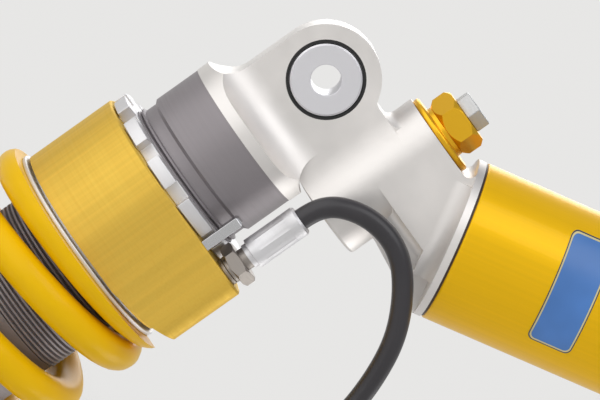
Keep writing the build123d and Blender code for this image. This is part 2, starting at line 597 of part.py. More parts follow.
with BuildPart() as head:
    eye_lug(0, FLANGE_TOP, COVE_RADIUS, SIDE_COVE_RADIUS, FLANGE_DIAMETER)
    ring(AXIS, FLANGE_DIAMETER, 0, FLANGE_BOTTOM, FLANGE_TOP)
    ring(AXIS, TUBE_BORE - 2 * FIT, 0, SPIGOT_BOTTOM, FLANGE_BOTTOM)
    beam([(0, WEB_BOTTOM), (BOSS_X, WEB_BOTTOM), (BOSS_X, WEB_TOP), (0, WEB_TOP)], EYE_THICKNESS)
    # The valve boss, with a rounded lower edge
    with BuildSketch(Plane.XZ) as half_boss:
        with BuildLine():
            Line((BOSS_X, BOSS_BOTTOM), (boss_side - BOSS_EDGE, BOSS_BOTTOM))
            RadiusArc(
                (boss_side - BOSS_EDGE, BOSS_BOTTOM), (boss_side, BOSS_BOTTOM + BOSS_EDGE), -BOSS_EDGE
            )
            Polyline(
                (boss_side, BOSS_BOTTOM + BOSS_EDGE),
                (boss_side, BOSS_TOP),
                (BOSS_X, BOSS_TOP),
                (BOSS_X, BOSS_BOTTOM),
            )
        make_face()
    revolve(half_boss.sketch, axis=Axis((BOSS_X, 0, 0), (0, 0, 1)))
    notch = head.edges().filter_by_position(Axis.Z, WEB_TOP - FIT, WEB_TOP + FIT)
    notch = notch.filter_by_position(Axis.X, 0, BOSS_X - BOSS_EDGE)
    fillet(notch.filter_by(GeomType.LINE, reverse=True) + notch.filter_by(Axis.Y), WEB_NOTCH_RADIUS)
    add(web_cove.part)
    add(web_blend.part)
    # The block keeps the full width of the boss above the pocket, and is thinner below it.
    beam(
        [
            (BOSS_X, BOSS_TOP),
            (on_flange(BOSS_TOP), BOSS_TOP),
            (on_flange(BLOCK_LOWER_EDGE - BLOCK_CORNER), BLOCK_LOWER_EDGE - BLOCK_CORNER),
            (on_flange(BLOCK_LOWER_EDGE) - BLOCK_CORNER, BLOCK_LOWER_EDGE),
            (BOSS_X, BLOCK_LOWER_EDGE),
        ],
        BOSS_DIAMETER,
    )
    beam(
        [
            (BOSS_X, BLOCK_LOWER_EDGE + BLOCK_OVERLAP),
            (on_flange(BLOCK_LOWER_EDGE), BLOCK_LOWER_EDGE + BLOCK_OVERLAP),
            (on_flange(flange_low_z), flange_low_z),
            (BOSS_X + BOSS_DIAMETER / 2, UNDERSIDE_Z),
            (BOSS_X, UNDERSIDE_Z),
        ],
        BOSS_DIAMETER - 2 * POCKET_DEPTH,
    )
    pocket = head.edges().filter_by(Axis.X).filter_by_position(
        Axis.Z, BLOCK_LOWER_EDGE - FIT, BLOCK_LOWER_EDGE + FIT
    )
    pocket = pocket.filter_by_position(Axis.Y, POCKET_DEPTH - block_half, block_half - POCKET_DEPTH)
    fillet(pocket, POCKET_COVE)
    add(flange_cove.part)
    ring(RESERVOIR, RESERVOIR_DIAMETER, 0, -RESERVOIR_FLANGE, 0)
    ring(RESERVOIR, RESERVOIR_BORE - 2 * FIT, 0, 0, RESERVOIR_SPIGOT)
    # The bearing, the valve, the oil's way to the valve and on to the reservoir
    ring(UPPER_EYE, RACE_DIAMETER, 0, -EYE_THICKNESS, EYE_THICKNESS, mode=Mode.SUBTRACT)
    ring(AXIS, SPIGOT_BORE, 0, SPIGOT_BOTTOM, FLANGE_BOTTOM - FLANGE_THICKNESS, mode=Mode.SUBTRACT)
    ring(BOSS, VALVE_BORE, 0, BOSS_TOP - VALVE_BORE_DEPTH, BOSS_TOP, mode=Mode.SUBTRACT)
    inlet_start = Vector(INLET_X, 0, FLANGE_BOTTOM - FLANGE_THICKNESS)
    inlet_end = Vector(BOSS_X, 0, BOSS_TOP - VALVE_BORE_DEPTH + PASSAGE_DIAMETER)
    inlet = Plane(origin=inlet_start, x_dir=(0, 1, 0), z_dir=inlet_end - inlet_start)
    inlet_length = (inlet_end - inlet_start).length
    ring(inlet, PASSAGE_DIAMETER, 0, -PASSAGE_DIAMETER / 2, inlet_length, mode=Mode.SUBTRACT)
    outlet_length = (RESERVOIR_X - BOSS_X) / cos(tilt)
    ring(RESERVOIR, PASSAGE_DIAMETER, 0, -outlet_length, RESERVOIR_SPIGOT, mode=Mode.SUBTRACT)
    # Grooves of the two O-rings
    ring(
        AXIS,
        TUBE_BORE,
        TUBE_BORE - 2 * O_RING,
        SPIGOT_BOTTOM + O_RING,
        SPIGOT_BOTTOM + 2 * O_RING,
        mode=Mode.SUBTRACT,
    )
    ring(
        RESERVOIR,
        RESERVOIR_DIAMETER,
        RESERVOIR_BORE - 2 * O_RING,
        SEAM_GAP + O_RING,
        SEAM_GAP + 2 * O_RING,
        mode=Mode.SUBTRACT,
    )
finish(head, "head")

# Body tube. Its thread is cut as rings of the same pitch.
thread_top = FLANGE_BOTTOM - COLLAR_LENGTH - NECK_LENGTH
thread_turns = int(THREAD_LENGTH / THREAD_PITCH)
bevel = (THREAD_DIAMETER - NECK_DIAMETER) / 2
outline = [
    (TUBE_BORE / 2, FLANGE_BOTTOM),
    (THREAD_DIAMETER / 2, FLANGE_BOTTOM),
    (THREAD_DIAMETER / 2, FLANGE_BOTTOM - COLLAR_LENGTH),
    (NECK_DIAMETER / 2, FLANGE_BOTTOM - COLLAR_LENGTH - bevel),
    (NECK_DIAMETER / 2, thread_top),
]
for turn in range(thread_turns):
    crest = thread_top - turn * THREAD_PITCH
    outline.append((THREAD_DIAMETER / 2, crest - CREST_START * THREAD_PITCH))
    outline.append((THREAD_DIAMETER / 2, crest - CREST_END * THREAD_PITCH))
    outline.append((THREAD_DIAMETER / 2 - THREAD_DEPTH, crest - ROOT_AT * THREAD_PITCH))
thread_bottom = thread_top - thread_turns * THREAD_PITCH
outline += [
    (TUBE_DIAMETER / 2, thread_bottom),
    (TUBE_DIAMETER / 2, TUBE_BOTTOM + TUBE_CHAMFER),
    (TUBE_DIAMETER / 2 - TUBE_CHAMFER, TUBE_BOTTOM),
    (TUBE_BORE / 2, TUBE_BOTTOM),
]
with BuildPart() as body_tube:
    with BuildSketch(Plane.XZ) as wall:
        with BuildLine():
            Polyline(*outline, close=True)
        make_face()
    revolve(wall.sketch, axis=Axis.Z)
    ring(
        AXIS,
        TUBE_BORE + 2 * CLIP_DEPTH,
        0,
        SEAL_HEAD_BOTTOM - CLIP_THICKNESS - FIT,
        SEAL_HEAD_BOTTOM,
        mode=Mode.SUBTRACT,
    )
finish(body_tube, "body_tube")

# O-rings of the head and of the seal head
seal_head_groove = SEAL_HEAD_BOTTOM + SEAL_HEAD_LENGTH / 2
with BuildPart() as tube_seals:
    for low in (SPIGOT_BOTTOM + O_RING, seal_head_groove):
        ring(AXIS, TUBE_BORE, TUBE_BORE - 2 * O_RING, low, low + O_RING)
finish(tube_seals, "tube_seals")

# Lock ring with its notches, one of which holds the key
with BuildPart() as lock_ring:
    ring(AXIS, RING_DIAMETER - 2 * RING_FOOT_STEP, 0, HOUSING_TOP, HOUSING_TOP + RING_FOOT_HEIGHT)
    ring(AXIS, RING_DIAMETER, 0, HOUSING_TOP + RING_FOOT_HEIGHT, HOUSING_TOP + RING_THICKNESS)
    ring(AXIS, THREAD_DIAMETER + 2 * THREAD_CLEARANCE, 0, HOUSING_TOP, 0, mode=Mode.SUBTRACT)
    with BuildSketch(AXIS.offset(HOUSING_TOP)) as notches:
        # Four of the evenly spaced notches are left out on the side of the one that holds the key.
        spaced = [RING_FIRST_NOTCH - index * 360 / RING_NOTCHES for index in range(RING_NOTCHES - 4)]
        for angle in spaced + [KEY_NOTCH_ANGLE]:
            with PolarLocations(RING_DIAMETER / 2, 1, start_angle=angle - 90):
                Rectangle(2 * RING_NOTCH_DEPTH, RING_NOTCH_WIDTH)
    extrude(notches.sketch, amount=RING_THICKNESS, mode=Mode.SUBTRACT)
finish(lock_ring, "lock_ring")

# Key: a flat bar that stands on the housing and reaches back into one notch
with BuildPart() as ring_key:
    with BuildSketch(AXIS.offset(HOUSING_TOP)) as bar:
        with Locations((KEY_X, KEY_FRONT_Y + KEY_DEPTH / 2)):
            Rectangle(KEY_WIDTH, KEY_DEPTH)
    extrude(bar.sketch, amount=KEY_LENGTH)
    chamfer(ring_key.faces().sort_by(Axis.Z)[-1].edges(), KEY_CHAMFER)
finish(ring_key, "ring_key")

# Preload housing: a cylinder with a drop-shaped boss whose foot slopes up to the side
with BuildPart() as preload_housing:
    with BuildSketch(AXIS.offset(HOUSING_BOTTOM)) as drop:
        with BuildLine():
            CenterArc((0, 0), HOUSING_DIAMETER / 2, 0, 360)
            CenterArc((FITTING_X, FITTING_Y), FITTING_BOSS / 2, 0, 360)
        make_hull()
    extrude(drop.sketch, amount=HOUSING_LENGTH)
    for slope_start, slope_angle in BOSS_SLOPES:
        rise = radians(slope_angle)
        slope = Plane(
            origin=(slope_start, 0, HOUSING_BOTTOM),
            x_dir=(cos(rise), 0, sin(rise)),
            z_dir=(-sin(rise), 0, cos(rise)),
        )
        with BuildSketch(slope) as foot:
            with Locations((HOUSING_DIAMETER / 2, 0)):
                Rectangle(HOUSING_DIAMETER, 2 * HOUSING_DIAMETER)
        extrude(foot.sketch, amount=-HOUSING_LENGTH, mode=Mode.SUBTRACT)
    ring(AXIS, HOUSING_DIAMETER, 0, HOUSING_BOTTOM, HOUSING_TOP)
    rims = preload_housing.edges().filter_by(Plane.XY).group_by(Axis.Z)
    chamfer(rims[-1], HOUSING_CHAMFER)
    ring(AXIS, SLEEVE_DIAMETER - 2 * HOUSING_SLEEVE, 0, HOUSING_BOTTOM, HOUSING_TOP, mode=Mode.SUBTRACT)
    ring(
        AXIS,
        CHAMBER_DIAMETER,
        SLEEVE_DIAMETER,
        HOUSING_BOTTOM,
        HOUSING_TOP - HOUSING_ROOF,
        mode=Mode.SUBTRACT,
    )
    ring(FITTING, UNION_THREAD, 0, HOUSING_TOP - PORT_DEPTH, HOUSING_TOP, mode=Mode.SUBTRACT)
    port = Plane(
        origin=(FITTING_X, FITTING_Y, HOUSING_TOP - PORT_DEPTH + PORT_DIAMETER / 2),
        x_dir=(0, 0, 1),
        z_dir=(-FITTING_X, -FITTING_Y, 0),
    )
    chamber_middle = (SLEEVE_DIAMETER + CHAMBER_DIAMETER) / 4
    ring(port, PORT_DIAMETER, 0, 0, FITTING_RADIUS - chamber_middle, mode=Mode.SUBTRACT)
finish(preload_housing, "preload_housing")

# Sealing washers, unions and ferrules at the two ends of the hose
with BuildPart() as port_washers:
    for plane, low in ((FITTING, HOUSING_TOP), (REMOTE, REMOTE_TOP)):
        ring(plane, WASHER_DIAMETER, UNION_THREAD + 2 * FIT, low, low + WASHER_THICKNESS - FIT)
        ring(plane, WASHER_DIAMETER, UNION_THREAD + 2 * FIT, low + WASHER_THICKNESS, low + WASHER_HEIGHT)
finish(port_washers, "port_washers")

for end, plane, face in (("hose", FITTING, HOUSING_TOP), ("remote", REMOTE, REMOTE_TOP)):
    with BuildPart() as union:
        hex_base = face + WASHER_HEIGHT
        neck_base = hex_base + UNION_HEX_HEIGHT
        hexagon(plane, UNION_HEX, hex_base, neck_base, turn=UNION_HEX_TURN)
        turn_corners(plane, UNION_HEX, hex_base, neck_base, UNION_TURNING)
        ring(plane, UNION_THREAD, 0, face - UNION_THREAD_LENGTH, hex_base)
        ring(plane, UNION_NECK, 0, neck_base, face + UNION_LENGTH)
    finish(union, f"{end}_union")
    with BuildPart() as ferrule:
        base = face + UNION_LENGTH
        ring(plane, FERRULE_LIP, 0, base, base + FERRULE_LIP_LENGTH)
        ring(plane, FERRULE_DIAMETER, 0, base + FERRULE_LIP_LENGTH, base + FERRULE_LENGTH)
    finish(ferrule, f"{end}_ferrule")

# Hose: straight runs joined by tangent arcs, each as large as its two runs allow
corners = [Vector(*point) for point in HOSE_ROUTE]
runs = [after - before for before, after in zip(corners, corners[1:])]
turns = [before.get_angle(after) for before, after in zip(runs, runs[1:])]
radii = []
for before, after, turn in zip(runs, runs[1:], turns):
    radii.append(HOSE_BEND_SHARE * min(before.length, after.length) / tan(radians(turn) / 2))
with BuildPart() as preload_hose:
    with BuildLine() as route:
        FilletPolyline(*HOSE_ROUTE, radius=radii)
    with BuildSketch(Plane(origin=HOSE_ROUTE[0], x_dir=(1, 0, 0), z_dir=runs[0])) as bore:
        Circle(HOSE_DIAMETER / 2)
    sweep(bore.sketch, path=route.wires()[0])
finish(preload_hose, "preload_hose")
hose_length = route.wires()[0].length
hose_ratio = preload_hose.part.volume / (pi * HOSE_DIAMETER**2 / 4 * hose_length)
print("hose runs", [round(run.length, 1) for run in runs])
print("hose radii", [round(radius, 1) for radius in radii])
print("hose length", round(hose_length, 1), "volume over section times length", round(hose_ratio, 4))

# Ring piston of the preload housing, with its two seals
piston_top = SEAT_TOP + RING_PISTON_LENGTH
groove_low = piston_top - 3 * RING_PISTON_GROOVE
ring_piston_outer = CHAMBER_DIAMETER - 2 * FIT
ring_piston_inner = SLEEVE_DIAMETER + 2 * FIT
with BuildPart() as ring_piston:
    ring(AXIS, ring_piston_outer, ring_piston_inner, SEAT_TOP, piston_top)
    ring(
        AXIS,
        CHAMBER_DIAMETER,
        ring_piston_outer - RING_PISTON_GROOVE,
        groove_low,
        groove_low + RING_PISTON_GROOVE,
        mode=Mode.SUBTRACT,
    )
finish(ring_piston, "ring_piston")

with BuildPart() as ring_piston_seal:
    ring(
        AXIS,
        ring_piston_outer,
        ring_piston_outer - RING_PISTON_GROOVE,
        groove_low,
        groove_low + RING_PISTON_GROOVE,
    )
finish(ring_piston_seal, "ring_piston_seal")

# Spring seat: a thin ring under the piston, with a lip that centres the spring
with BuildPart() as spring_seat:
    ring(AXIS, SEAT_DIAMETER, 0, SPRING_TOP, SEAT_TOP)
    ring(AXIS, SEAT_LIP_DIAMETER, 0, SPRING_TOP - SEAT_LIP, SPRING_TOP)
    ring(AXIS, THREAD_DIAMETER + 2 * SLIDE_GAP, 0, SPRING_TOP - SEAT_LIP, SEAT_TOP, mode=Mode.SUBTRACT)
finish(spring_seat, "spring_seat")

# Main spring: right-handed, its end turns closed and ground flat
overhang = WIRE_DIAMETER / 2 - TIP_THICKNESS
end_pitch = WIRE_DIAMETER + COIL_GAP
coil_drop = SPRING_LENGTH + 2 * overhang
active_turns = (coil_drop - 2 * END_TURNS * end_pitch) / SPRING_PITCH
total_turns = active_turns + 2 * END_TURNS
first_z = SPRING_TOP + overhang


def coil_depth(turn):
    """How far the wire's centre lies under its start after so many turns from the top."""
    depth = end_pitch * turn
    for corner, sign in ((END_TURNS, 1), (END_TURNS + active_turns, -1)):
        past = turn - corner + PITCH_BLEND / 2
        gain = sign * (SPRING_PITCH - end_pitch)
        if past >= PITCH_BLEND:
            depth += gain * (past - PITCH_BLEND / 2)
        elif past > 0:
            depth += gain * past**2 / (2 * PITCH_BLEND)
    return depth


def coil_point(turn):
    """The wire's centre after so many turns from the top."""
    angle = radians(TIP_ANGLE) - 2 * pi * turn
    radius = SPRING_MEAN_DIAMETER / 2
    return Vector(radius * cos(angle), radius * sin(angle), first_z - coil_depth(turn))


def coil_direction(turn):
    """The wire's direction there."""
    step = 1e-5
    return (coil_point(turn + step) - coil_point(turn - step)).normalized()


def biarc_middle(start, start_way, end, end_way):
    """Where two arcs meet that leave start and reach end along the given ways, and their way there."""
    span = end - start
    along = span.dot(start_way + end_way)
    spread = 2 * (1 - start_way.dot(end_way))
    reach = (-along + sqrt(along**2 + spread * span.dot(span))) / spread
    before = start + start_way * reach
    after = end - end_way * reach
    return (before + after) / 2, after - before


quarters = round(total_turns * POINTS_PER_TURN)
quarter_turn = total_turns / quarters
with BuildPart() as main_spring:
    with BuildLine() as coil:
        for step in range(quarters):
            start = coil_point(step * quarter_turn)
            end = coil_point((step + 1) * quarter_turn)
            start_way = coil_direction(step * quarter_turn)
            end_way = coil_direction((step + 1) * quarter_turn)
            middle, middle_way = biarc_middle(start, start_way, end, end_way)
            TangentArc(start, middle, tangent=start_way)
            TangentArc(middle, end, tangent=middle_way)
    with BuildSketch(Plane(origin=coil_point(0), x_dir=(0, 0, 1), z_dir=coil_direction(0))) as wire:
        Circle(WIRE_DIAMETER / 2)
    sweep(wire.sketch, path=coil.wires()[0])
    for end_z, away in ((SPRING_TOP, 1), (SPRING_BOTTOM, -1)):
        with BuildSketch(AXIS.offset(end_z)) as ground:
            Circle(SPRING_OUTSIDE)
        extrude(ground.sketch, amount=away * WIRE_DIAMETER, mode=Mode.SUBTRACT)
finish(main_spring, "main_spring")

samples_per_turn = 90
sample_count = int(total_turns * samples_per_turn) + 1
centres = [coil_point(index / samples_per_turn) for index in range(sample_count)]
nearest = min(
    (centres[index] - centres[other]).length
    for index in range(len(centres))
    for other in range(index + samples_per_turn // 2, min(len(centres), index + 2 * samples_per_turn))
)
print("spring turns", round(total_turns, 2), "least gap between turns", round(nearest - WIRE_DIAMETER, 3))

# Reservoir tube, with the groove of its retaining ring, and the seal that shows in its seam
clip_groove = END_CAP_OUTER + CLIP_THICKNESS + FIT
with BuildPart() as reservoir_tube:
    ring(RESERVOIR, RESERVOIR_DIAMETER, RESERVOIR_BORE, SEAM_GAP, RESERVOIR_LENGTH)
    rims = reservoir_tube.edges().filter_by(GeomType.CIRCLE)
    chamfer([rim for rim in rims if abs(rim.radius - RESERVOIR_DIAMETER / 2) < FIT], TUBE_CHAMFER / 2)
    ring(RESERVOIR, RESERVOIR_BORE + 2 * CLIP_DEPTH, 0, END_CAP_OUTER, clip_groove, mode=Mode.SUBTRACT)
finish(reservoir_tube, "reservoir_tube")

with BuildPart() as reservoir_seals:
    ring(RESERVOIR, RESERVOIR_DIAMETER - 2 * SEAM_DEPTH, RESERVOIR_BORE, 0, SEAM_GAP)
    ring(RESERVOIR, RESERVOIR_BORE, RESERVOIR_BORE - 2 * O_RING, SEAM_GAP + O_RING, SEAM_GAP + 2 * O_RING)
    cap_groove = END_CAP_INNER + END_CAP_THICKNESS / 2
    ring(RESERVOIR, RESERVOIR_BORE, RESERVOIR_BORE - 2 * O_RING, cap_groove, cap_groove + O_RING)
finish(reservoir_seals, "reservoir_seals")

# Floating piston, open to the gas side, and its seal
floating_top = FLOATING_PISTON_AT + FLOATING_PISTON_LENGTH
floating_outer = RESERVOIR_BORE - 2 * FIT
floating_groove = FLOATING_PISTON_AT + FLOATING_PISTON_WALL
with BuildPart() as floating_piston:
    ring(RESERVOIR, floating_outer, 0, FLOATING_PISTON_AT, floating_top)
    ring(
        RESERVOIR,
        floating_outer - 2 * FLOATING_PISTON_WALL,
        0,
        floating_groove,
        floating_top,
        mode=Mode.SUBTRACT,
    )
    ring(
        RESERVOIR,
        RESERVOIR_BORE,
        floating_outer - 2 * O_RING,
        floating_groove,
        floating_groove + O_RING,
        mode=Mode.SUBTRACT,
    )
finish(floating_piston, "floating_piston")

with BuildPart() as floating_piston_seal:
    ring(RESERVOIR, floating_outer, floating_outer - 2 * O_RING, floating_groove, floating_groove + O_RING)
finish(floating_piston_seal, "floating_piston_seal")

# End cap with the gas valve in a recess
with BuildPart() as end_cap:
    ring(RESERVOIR, RESERVOIR_BORE - 2 * FIT, 0, END_CAP_INNER, END_CAP_OUTER)
    ring(
        RESERVOIR,
        RESERVOIR_BORE - 2 * END_CAP_RIM,
        0,
        END_CAP_OUTER - END_CAP_RECESS,
        END_CAP_OUTER,
        mode=Mode.SUBTRACT,
    )
    ring(RESERVOIR, GAS_VALVE_DIAMETER, 0, END_CAP_INNER, END_CAP_OUTER, mode=Mode.SUBTRACT)
    ring(
        RESERVOIR,
        RESERVOIR_BORE,
        RESERVOIR_BORE - 2 * O_RING,
        cap_groove,
        cap_groove + O_RING,
        mode=Mode.SUBTRACT,
    )
finish(end_cap, "end_cap")

valve_seat = END_CAP_OUTER - END_CAP_RECESS
gas_hex_top = valve_seat + GAS_VALVE_HEX_HEIGHT
with BuildPart() as gas_valve:
    ring(RESERVOIR, GAS_VALVE_DIAMETER, 0, END_CAP_INNER, valve_seat)
    hexagon(RESERVOIR, GAS_VALVE_HEX, valve_seat, gas_hex_top)
    ring(RESERVOIR, GAS_VALVE_DIAMETER, 0, gas_hex_top, valve_seat + GAS_VALVE_LENGTH)
finish(gas_valve, "gas_valve")

with BuildPart() as gas_valve_cap:
    ring(RESERVOIR, GAS_CAP_DIAMETER, 0, gas_hex_top + FIT, valve_seat + GAS_VALVE_LENGTH + CLIP_THICKNESS)
    ring(
        RESERVOIR,
        GAS_VALVE_DIAMETER + 2 * FIT,
        0,
        gas_hex_top + FIT,
        valve_seat + GAS_VALVE_LENGTH,
        mode=Mode.SUBTRACT,
    )
finish(gas_valve_cap, "gas_valve_cap")

# Retaining rings of the end cap and of the seal head
with BuildPart() as retaining_rings:
    ring(
        RESERVOIR,
        RESERVOIR_BORE + 2 * CLIP_DEPTH,
        RESERVOIR_BORE - 2 * CLIP_WIDTH,
        END_CAP_OUTER,
        END_CAP_OUTER + CLIP_THICKNESS,
    )
    ring(
        AXIS,
        TUBE_BORE + 2 * CLIP_DEPTH,
        TUBE_BORE - 2 * CLIP_WIDTH,
        SEAL_HEAD_BOTTOM - CLIP_THICKNESS,
        SEAL_HEAD_BOTTOM,
    )
finish(retaining_rings, "retaining_rings")

# Compression valve: cap on the boss, cartridge through it, and the two adjusters in the cartridge
with BuildPart() as valve_cap:
    ring(BOSS, CAP_DIAMETER, 0, BOSS_TOP, BOSS_TOP + CAP_THICKNESS)
    fillet(valve_cap.edges().filter_by(GeomType.CIRCLE), CAP_EDGE)
    ring(BOSS, CAP_STEP_DIAMETER, 0, BOSS_TOP + CAP_THICKNESS, CARTRIDGE_SEAT)
    ring(BOSS, CARTRIDGE_DIAMETER + 2 * FIT, 0, BOSS_TOP, CARTRIDGE_SEAT, mode=Mode.SUBTRACT)
finish(valve_cap, "valve_cap")

with BuildPart() as valve_cartridge:
    hexagon(BOSS, CARTRIDGE_HEX, CARTRIDGE_SEAT, CARTRIDGE_TOP, turn=CARTRIDGE_HEX_TURN)
    turn_corners(BOSS, CARTRIDGE_HEX, CARTRIDGE_SEAT, CARTRIDGE_TOP, CORNER_TURNING)
    ring(BOSS, CARTRIDGE_DIAMETER, 0, CARTRIDGE_BOTTOM, CARTRIDGE_SEAT)
    ring(BOSS, ADJUSTER_STEM + 2 * FIT, 0, CARTRIDGE_BOTTOM, CARTRIDGE_TOP, mode=Mode.SUBTRACT)
finish(valve_cartridge, "valve_cartridge")

adjuster_top = CARTRIDGE_TOP + FIT + ADJUSTER_HEX_HEIGHT
with BuildPart() as high_speed_adjuster:
    hexagon(BOSS, ADJUSTER_HEX, CARTRIDGE_TOP + FIT, adjuster_top, turn=30)
    ring(BOSS, ADJUSTER_STEM, 0, CARTRIDGE_TOP - ADJUSTER_STEM_LENGTH, CARTRIDGE_TOP + FIT)
    screw_bore = LOW_SPEED_DIAMETER + 2 * FIT
    ring(BOSS, screw_bore, 0, CARTRIDGE_TOP - ADJUSTER_STEM_LENGTH, adjuster_top, mode=Mode.SUBTRACT)
finish(high_speed_adjuster, "high_speed_adjuster")

low_speed_top = adjuster_top - SLOT_DEPTH / 2
with BuildPart() as low_speed_screw:
    ring(BOSS, LOW_SPEED_DIAMETER, 0, low_speed_top - LOW_SPEED_LENGTH, low_speed_top)
    with BuildSketch(BOSS.offset(low_speed_top)) as slot:
        Rectangle(2 * LOW_SPEED_DIAMETER, SLOT_WIDTH, rotation=25)
    extrude(slot.sketch, amount=-SLOT_DEPTH, mode=Mode.SUBTRACT)
finish(low_speed_screw, "low_speed_screw")

with BuildPart() as valve_piston:
    ring(BOSS, VALVE_BORE - 2 * FIT, 0, CARTRIDGE_BOTTOM - VALVE_PISTON_LENGTH, CARTRIDGE_BOTTOM)
    with BuildSketch(BOSS.offset(CARTRIDGE_BOTTOM)) as ports:
        with PolarLocations(VALVE_BORE / 3, PISTON_PORTS):
            Circle(PORT_DIAMETER / 2)
    extrude(ports.sketch, amount=-VALVE_PISTON_LENGTH, mode=Mode.SUBTRACT)
finish(valve_piston, "valve_piston")

# Seal head with its bush, shaft seal and wiper, stacked from the top
bush_top = SEAL_HEAD_TOP
seal_top = bush_top - BUSH_LENGTH
wiper_top = SEAL_HEAD_BOTTOM + WIPER_LENGTH
with BuildPart() as seal_head:
    ring(AXIS, TUBE_BORE - 2 * FIT, 0, SEAL_HEAD_BOTTOM, SEAL_HEAD_TOP)
    ring(AXIS, SHAFT_DIAMETER + 2 * SLIDE_GAP, 0, SEAL_HEAD_BOTTOM, SEAL_HEAD_TOP, mode=Mode.SUBTRACT)
    ring(AXIS, BUSH_DIAMETER, 0, seal_top, bush_top, mode=Mode.SUBTRACT)
    ring(AXIS, SHAFT_SEAL_DIAMETER, 0, seal_top - SHAFT_SEAL_LENGTH, seal_top, mode=Mode.SUBTRACT)
    ring(AXIS, WIPER_DIAMETER, 0, SEAL_HEAD_BOTTOM, wiper_top, mode=Mode.SUBTRACT)
    ring(
        AXIS,
        TUBE_BORE,
        TUBE_BORE - 2 * O_RING,
        seal_head_groove,
        seal_head_groove + O_RING,
        mode=Mode.SUBTRACT,
    )
finish(seal_head, "seal_head")

with BuildPart() as shaft_bush:
    ring(AXIS, BUSH_DIAMETER, SHAFT_DIAMETER + 2 * FIT, seal_top, bush_top)
finish(shaft_bush, "shaft_bush")

with BuildPart() as shaft_seal:
    ring(AXIS, SHAFT_SEAL_DIAMETER, SHAFT_DIAMETER + 2 * FIT, seal_top - SHAFT_SEAL_LENGTH, seal_top)
finish(shaft_seal, "shaft_seal")

with BuildPart() as dust_wiper:
    ring(AXIS, WIPER_DIAMETER, SHAFT_DIAMETER + 2 * FIT, SEAL_HEAD_BOTTOM, wiper_top)
    ring(
        AXIS,
        SHAFT_DIAMETER + 2 * FIT + 2 * WIPER_LIP,
        SHAFT_DIAMETER + 2 * FIT,
        SEAL_HEAD_BOTTOM - WIPER_LIP,
        SEAL_HEAD_BOTTOM,
    )
finish(dust_wiper, "dust_wiper")

# Piston shaft, with its back plate and its stud through the piston
stud_top = NUT_BOTTOM + PISTON_NUT_HEIGHT + STUD_TIP
shaft_bottom = SHOULDER_Z - YOKE_ROOF + FIT
with BuildPart() as piston_shaft:
    ring(AXIS, SHAFT_DIAMETER, 0, shaft_bottom, SHAFT_SHOULDER)
    ring(AXIS, BACK_PLATE, 0, BACK_PLATE_BOTTOM, SHAFT_SHOULDER)
    ring(AXIS, STUD_DIAMETER, 0, SHAFT_SHOULDER, stud_top)
    ring(AXIS, SHAFT_BORE, 0, shaft_bottom, stud_top, mode=Mode.SUBTRACT)
finish(piston_shaft, "piston_shaft")

# Main piston with its ports and its band
band_low = PISTON_BOTTOM + (PISTON_LENGTH - PISTON_BAND) / 2
with BuildPart() as main_piston:
    ring(AXIS, PISTON_DIAMETER, STUD_DIAMETER, PISTON_BOTTOM, PISTON_TOP)
    with BuildSketch(AXIS.offset(PISTON_BOTTOM)) as ports:
        with PolarLocations(PISTON_PORT_CIRCLE / 2, PISTON_PORTS):
            Circle(PISTON_PORT_DIAMETER / 2)
    extrude(ports.sketch, amount=PISTON_LENGTH, mode=Mode.SUBTRACT)
    ring(
        AXIS,
        TUBE_BORE,
        PISTON_DIAMETER - O_RING,
        band_low,
        band_low + PISTON_BAND,
        mode=Mode.SUBTRACT,
    )
finish(main_piston, "main_piston")

with BuildPart() as piston_band:
    ring(AXIS, TUBE_BORE - 2 * FIT, PISTON_DIAMETER - O_RING, band_low, band_low + PISTON_BAND)
finish(piston_band, "piston_band")

# Shims: the widest lies on the piston, and they get smaller away from it
with BuildPart() as piston_shims:
    for index in range(SHIM_COUNT):
        wide = SHIM_DIAMETER - index * SHIM_STEP
        low = PISTON_TOP + index * SHIM_THICKNESS
        ring(AXIS, wide, STUD_DIAMETER, low, low + SHIM_THICKNESS)
        low = PISTON_BOTTOM - (index + 1) * SHIM_THICKNESS
        ring(AXIS, wide, STUD_DIAMETER, low, low + SHIM_THICKNESS)
finish(piston_shims, "piston_shims")

with BuildPart() as piston_nut:
    hexagon(AXIS, PISTON_NUT_HEX, NUT_BOTTOM, NUT_BOTTOM + PISTON_NUT_HEIGHT)
    ring(AXIS, STUD_DIAMETER, 0, NUT_BOTTOM, NUT_BOTTOM + PISTON_NUT_HEIGHT, mode=Mode.SUBTRACT)
finish(piston_nut, "piston_nut")

with BuildPart() as topout_bumper:
    ring(AXIS, TOPOUT_DIAMETER, SHAFT_DIAMETER, SEAL_HEAD_TOP + STOP_GAP, BACK_PLATE_BOTTOM)
finish(topout_bumper, "topout_bumper")

with BuildPart() as metering_rod:
    ring(AXIS, METERING_ROD, 0, WHEEL_TOP + FIT, PISTON_BOTTOM)
finish(metering_rod, "metering_rod")

# Bump stop: a waisted rubber collar on the shaft
with BuildPart() as bump_stop:
    ring(AXIS, BUMP_DIAMETER, 0, CUP_SPIGOT_TOP, BUMP_TOP)
    rims = bump_stop.edges().filter_by(GeomType.CIRCLE).group_by(Axis.Z)
    fillet(rims[-1], BUMP_HEIGHT / 3)
    fillet(bump_stop.edges().filter_by(GeomType.CIRCLE).group_by(Axis.Z)[0], BUMP_HEIGHT / 5)
    ring(AXIS, SHAFT_DIAMETER, 0, CUP_SPIGOT_TOP, BUMP_TOP, mode=Mode.SUBTRACT)
finish(bump_stop, "bump_stop")

